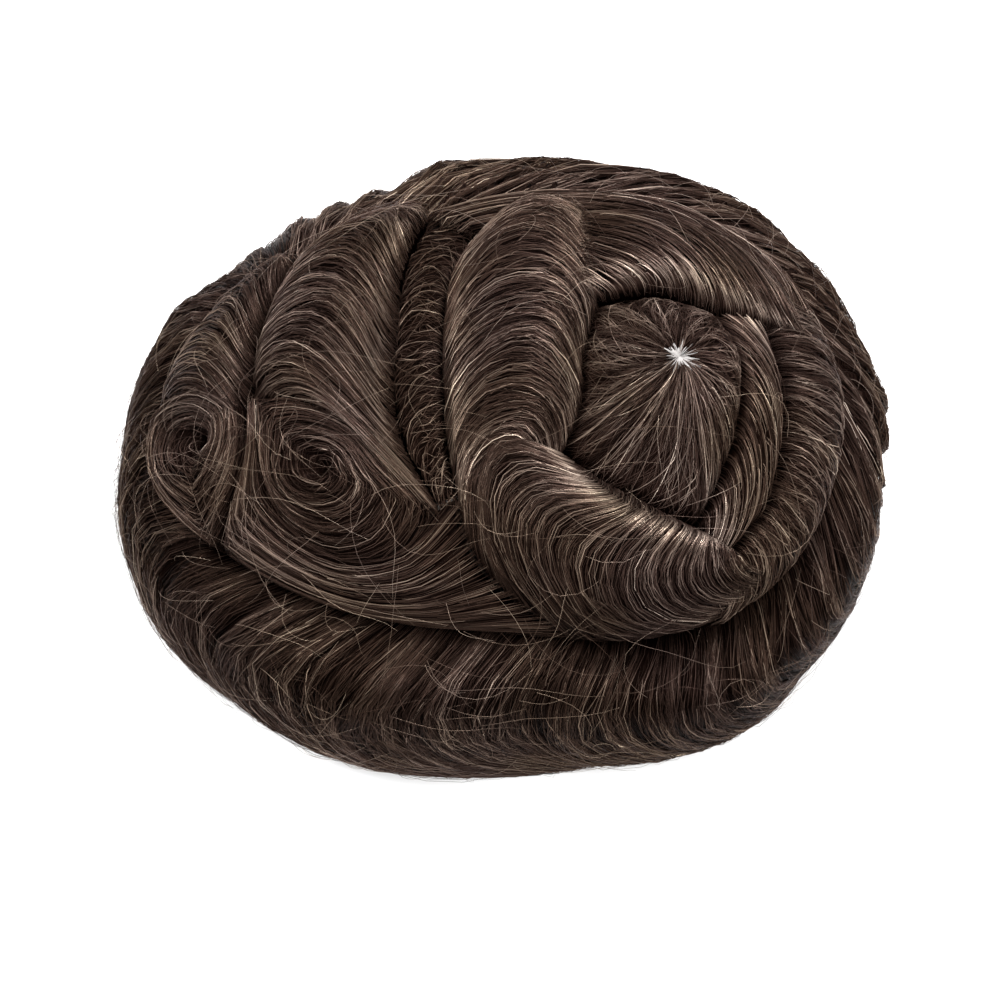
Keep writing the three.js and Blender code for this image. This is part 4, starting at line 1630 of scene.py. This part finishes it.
def band_locks() -> list[LockHair]:
    """The locks between rails, with how each is combed."""
    # A lock's tones are painted highlights on its lit ridges and painted shade in its hollows.
    return [
        LockHair(
            band("first_wave", ("wave_front",), ("wave_back",), (("wave_top", "parting_top"),),
                 ("knot_width", "wave_end"), 0.5, 0.62, 1.0, 0.55, 0.25),
            AcrossComb(bow=-0.2, fullness=2.0, lean=-0.04, loose=0.03, steps=10),
            painted_light=((0, 0.08), (0.2, 0.05), (0.5, -0.04), (0.9, 0), (0.97, 0.22), (1, 0.12))),
        LockHair(
            band("valley_lock", ("wave_back",), ("crest_front",), ("parting_head",), ("valley_end",),
                 0.5, 0.5, 0.58, 0.5, 0.2),
            AcrossComb(bow=-0.03, lean=-0.12, loose=0.03), seam_shade=0.1),
        LockHair(
            band("second_wave", ("crest_front",), ("crest_back", "whorl_front"), ("crest_head",), ("crest_end",),
                 0.5, 0.6, 1.0, 0.5, 0.2),
            AcrossComb(bow=-0.2, fullness=2.3, tail_b=0.06, loose=0.025, spill=(0.015, 0.08), steps=10),
            painted_light=((0, 0.06), (0.1, 0.16), (0.25, 0.03), (0.5, -0.04), (0.88, 0.0), (0.96, 0.18), (1, 0.06))),
        LockHair(
            band("lower_wave", ("lower_front", ("wave_foot", "back_foot")), ("whorl_low",), ("crest_end",),
                 ("lower_end", "twist_foot_width"), 0.45, 0.75, 1.0, 0.6, 0.1),
            AcrossComb(bow=-0.2, tail_a=0.26, spill=(0.0, 0.06), turned=True, steps=11), seam_shade=0.3,
            painted_light=((0, -0.08), (0.3, -0.05), (0.78, 0), (0.92, 0.3), (1, 0.2))),
        LockHair(
            band("back_twist", ("twist_back",), ("whorl_back",), ("-twist_top_width",), ("twist_foot_width",),
                 0.6, 0.55, 0.85, 0.5, 0.2),
            AlongComb(reach=0.36, lean=-0.8, spill=0.06),
            painted_light=((0, 0), (0.5, 0.08), (1, 0.08))),
        LockHair(
            band("back_roll", (("back_top", "back_foot"),), ("twist_back",), ("-back_end_outer", "-back_end"),
                 ("lower_end",), 0.5, 0.6, 1.0, 0.5, 0.25),
            AcrossComb(bow=0.03, tail_a=0.12, spill=(0.06, 0.12), loose=0.03), seam_shade=0.25,
            painted_light=((0, 0.05), (0.6, 0.08), (1, 0))),
        LockHair(
            band("upper_wave", ("upper_top",), ("whorl_head", "twist_top_width"), ("crest_back",), ("-back_end",),
                 0.55, 0.75, 0.98, 0.7, 0.2),
            AlongComb(reach=0.6, lean=0.7, spill=0.14), seam_shade=0.3,
            painted_light=((0, 0.04), (0.3, -0.08), (0.66, -0.08), (0.86, 0.24), (0.95, 0.18), (1, 0.05))),
        LockHair(
            band("top_layer", (("parting_top", "back_top"),), ("crest_head", "upper_top"), ("parting_head",),
                 ("-back_end_outer",), 0.5, 0.55, 0.8, 0.45, 0.2),
            AlongComb(reach=0.35, lean=0.3), seam_shade=0.3),
        LockHair(
            band("front_roll", (("roll_top", "curl_top"),), ("wave_front",), (("roll_top", "wave_top"),),
                 ("-roll_foot",), 0.5, 0.5, 0.95, 0.45, 0.15),
            AcrossComb(bow=-0.2, tail_b=0.06, spill=(0.015, 0.06))),
        LockHair(
            band("front_sweep", ("curl_back", ("curl_foot", "wave_foot")), ("sweep_inner",), ("knot_width",),
                 ("-lower_front", "-valley_end"), 0.45, 0.66, 0.8, 0.55, 0.3),
            AlongComb(reach=0.5, lean=0.1), lightness=-0.03),
    ]


def crown_whorl() -> RoundLock:
    """The lock round the crown."""
    side = Side(("whorl_head", "whorl_back", "-whorl_low", "-whorl_front"))
    return RoundLock("crown_whorl", (0.325, 0.02), side, 0.62, 0.76, 0.6, 0.55)


def round_locks() -> list[LockHair]:
    """The locks round an eye, with how each is combed."""
    centre = Side(("wave_end", "-sweep_inner"))
    front = Side(("roll_foot", ("curl_top", "curl_foot"), "-curl_back"))
    return [
        LockHair(crown_whorl(), RadialComb(loose=0.036, rooted_near=0.33, inner=0.04), density=3.1e5, lightness=0.06,
                 style=HairStyle(radius=0.105 * MM, flyaways=0.02, root_dip=0.6 * MM)),
        LockHair(RoundLock("centre_curl", (-0.335, -0.15), centre, 0.45, 0.86, 0.6, 0.76), WoundComb(turns=0.45),
                 seam_shade=0.15, lightness=-0.03),
        LockHair(RoundLock("front_curl", (-0.55, 0.0), front, 0.35, 0.92, 0.65, 0.5), WoundComb(turns=0.45)),
    ]


RIM_TABLE = (
    # start and end azimuth, lean at the start and end, tail at the start and end
    (222, 274, 0.3, 0.0, 0.05, 0.15),
    (274, 312, 0.0, 0.0, 0.15, 0.2),
    (312, 353, 0.0, -0.35, 0.2, 0.1),
    (353, 397, -0.35, -0.9, 0.1, 0.0),
    (397, 441, -0.9, -1.2, 0.0, 0.0),
    (441, 486, -1.2, -0.1, 0.0, 0.0),
    (486, 534, -0.1, 1.2, 0.0, 0.0),
    (534, 582, 1.2, 0.3, 0.0, 0.05),
)


RIM_DENSITY = 1.66e5
BACK_RIM = (3, 4, 5)
BACK_RIM_LIGHT = 0.04
FRONT_RIM_LIGHT = -0.05
SHINGLED = HairStyle(furrow=1.1 * MM, furrow_width=6.5 * MM, shingle=3.4 * MM)
ROLLED = HairStyle(furrow=1.0 * MM, furrow_width=7 * MM)


def rim_locks() -> list[LockHair]:
    """The locks of the roll along the rim."""
    locks = []
    for k, (start, end, first_lean, last_lean, first_tail, last_tail) in enumerate(RIM_TABLE):
        leans, tails = (first_lean, last_lean), (first_tail, last_tail)
        comb = RimComb(bow=-0.1, loose=0.035, sway=0.03, leans=leans, tails=tails)
        style, lightness = (SHINGLED, BACK_RIM_LIGHT) if k in BACK_RIM else (ROLLED, FRONT_RIM_LIGHT)
        lock = RimLock(f"rim_lock_{k + 1}", start, end)
        locks.append(LockHair(lock, comb, density=RIM_DENSITY, lightness=lightness, style=style))
    return locks


@dataclass
class Toupee:
    """The whole hairpiece."""

    seed: int = 4100
    triangles: int = 0

    @staticmethod
    def _hand_over(piece: bpy.types.Object, slot: Slot, node: str | None = None) -> None:
        """Attaches a piece to its body and hides the CAD node that it stands for."""
        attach(piece, BODY)
        if node is not None:
            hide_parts(node)

    def build(self) -> None:
        """Builds the skin film and every lock, attaches each to its body and hides the CAD node that it stands for."""
        finishes = Finishes()
        self._hand_over(SkinFilm().build(finishes.skin), Slot.SKIN, "skin_base")
        log.info("skin film over skin_base")
        self._hand_over(CrownSkin(crown_whorl()).build(finishes.parting), Slot.SKIN)
        log.info("skin at the crown")
        strands = StrandTree()
        for k, hair in enumerate(band_locks() + round_locks() + rim_locks()):
            piece = hair.build(self.seed + k)
            count = strands.apply(piece, finishes.hair, finishes.core)
            self.triangles += count
            self._hand_over(piece, Slot.HAIR, hair.lock.name)
            log.info("%s: %d triangles", piece.name, count)
        loose = LooseHairs().build()
        self.triangles += strands.apply(loose, finishes.hair, finishes.core)
        self._hand_over(loose, Slot.HAIR)
        log.info("triangles in all: %d", self.triangles)


# Floor, lights and camera

@dataclass(frozen=True)
class SoftLight:
    """A rectangular studio light that faces a point."""

    name: str
    place: tuple[float, float, float]
    size: float
    power: float
    colour: tuple[float, float, float] = (1.0, 1.0, 1.0)
    aim: tuple[float, float, float] = (0.0, 0.0, 0.04)

    def build(self) -> None:
        """Adds the light."""
        data = bpy.data.lights.new(self.name, "AREA")
        data.shape = "SQUARE"
        data.size = self.size
        data.energy = self.power
        data.color = self.colour
        obj = add_object(self.name, data)
        facing = (Vector(self.aim) - Vector(self.place)).to_track_quat("-Z", "Y")
        obj.matrix_world = Matrix.Translation(self.place) @ facing.to_matrix().to_4x4()


@dataclass(frozen=True)
class Studio:
    """A plain pale floor in soft light, seen as the photograph sees the piece."""

    elevation: float = 66.0
    azimuth: float = -7.5
    distance: float = 1.0
    lens: float = 122.4
    sensor: float = 36.0
    target: tuple[float, float, float] = (0.0, 0.0, 0.035)
    slide_right: float = -0.0005
    slide_up: float = -0.017
    floor_half: float = 4.0
    floor_colour: tuple[float, ...] = (0.93, 0.93, 0.93, 1)
    floor_roughness: float = 0.9
    sky: float = 0.3
    lamps: tuple[SoftLight, ...] = (
        SoftLight("key", (0.45, 0.8, 1.1), 0.5, 35),
        SoftLight("fill", (-0.8, 0.3, 1.0), 0.6, 21),
        SoftLight("front", (0.35, -0.75, 1.1), 1.2, 29),
    )

    def floor(self) -> None:
        """Adds the floor."""
        mesh = bpy.data.meshes.new("floor")
        half = self.floor_half
        corners = [(-half, -half, 0), (half, -half, 0), (half, half, 0), (-half, half, 0)]
        mesh.from_pydata(corners, [], [(0, 1, 2, 3)])
        material = bpy.data.materials.new("floor_white")
        material.use_nodes = True
        shader = material.node_tree.nodes["Principled BSDF"]
        shader.inputs["Base Color"].default_value = self.floor_colour
        shader.inputs["Roughness"].default_value = self.floor_roughness
        mesh.materials.append(material)
        add_object("floor", mesh)

    def lights(self) -> None:
        """Adds the sky and the studio lights."""
        world = bpy.data.worlds.new("studio")
        world.use_nodes = True
        background = world.node_tree.nodes["Background"]
        background.inputs["Color"].default_value = (1, 1, 1, 1)
        background.inputs["Strength"].default_value = self.sky
        bpy.context.scene.world = world
        for lamp in self.lamps:
            lamp.build()

    def camera(self) -> None:
        """Adds the camera at the photograph's viewing angle."""
        turn, rise = math.radians(self.azimuth), math.radians(self.elevation)
        back = Vector((math.sin(turn) * math.cos(rise), -math.cos(turn) * math.cos(rise), math.sin(rise)))
        right = Vector((math.cos(turn), math.sin(turn), 0))
        up = back.cross(right)
        place = Vector(self.target) + back * self.distance + right * self.slide_right + up * self.slide_up
        data = bpy.data.cameras.new("camera")
        data.lens = self.lens
        data.sensor_width = self.sensor
        obj = add_object("camera", data)
        basis = Matrix((right, up, back)).transposed()
        obj.matrix_world = Matrix.Translation(place) @ basis.to_4x4()
        bpy.context.scene.camera = obj

    def build(self) -> None:
        """Adds the floor, the lights and the camera."""
        self.camera()
        self.floor()
        self.lights()
        bpy.context.scene.view_settings.view_transform = "Standard"


def main() -> None:
    """Builds the studio and the hairpiece."""
    Studio().build()
    Toupee().build()


if __name__ == "__main__":
    main()
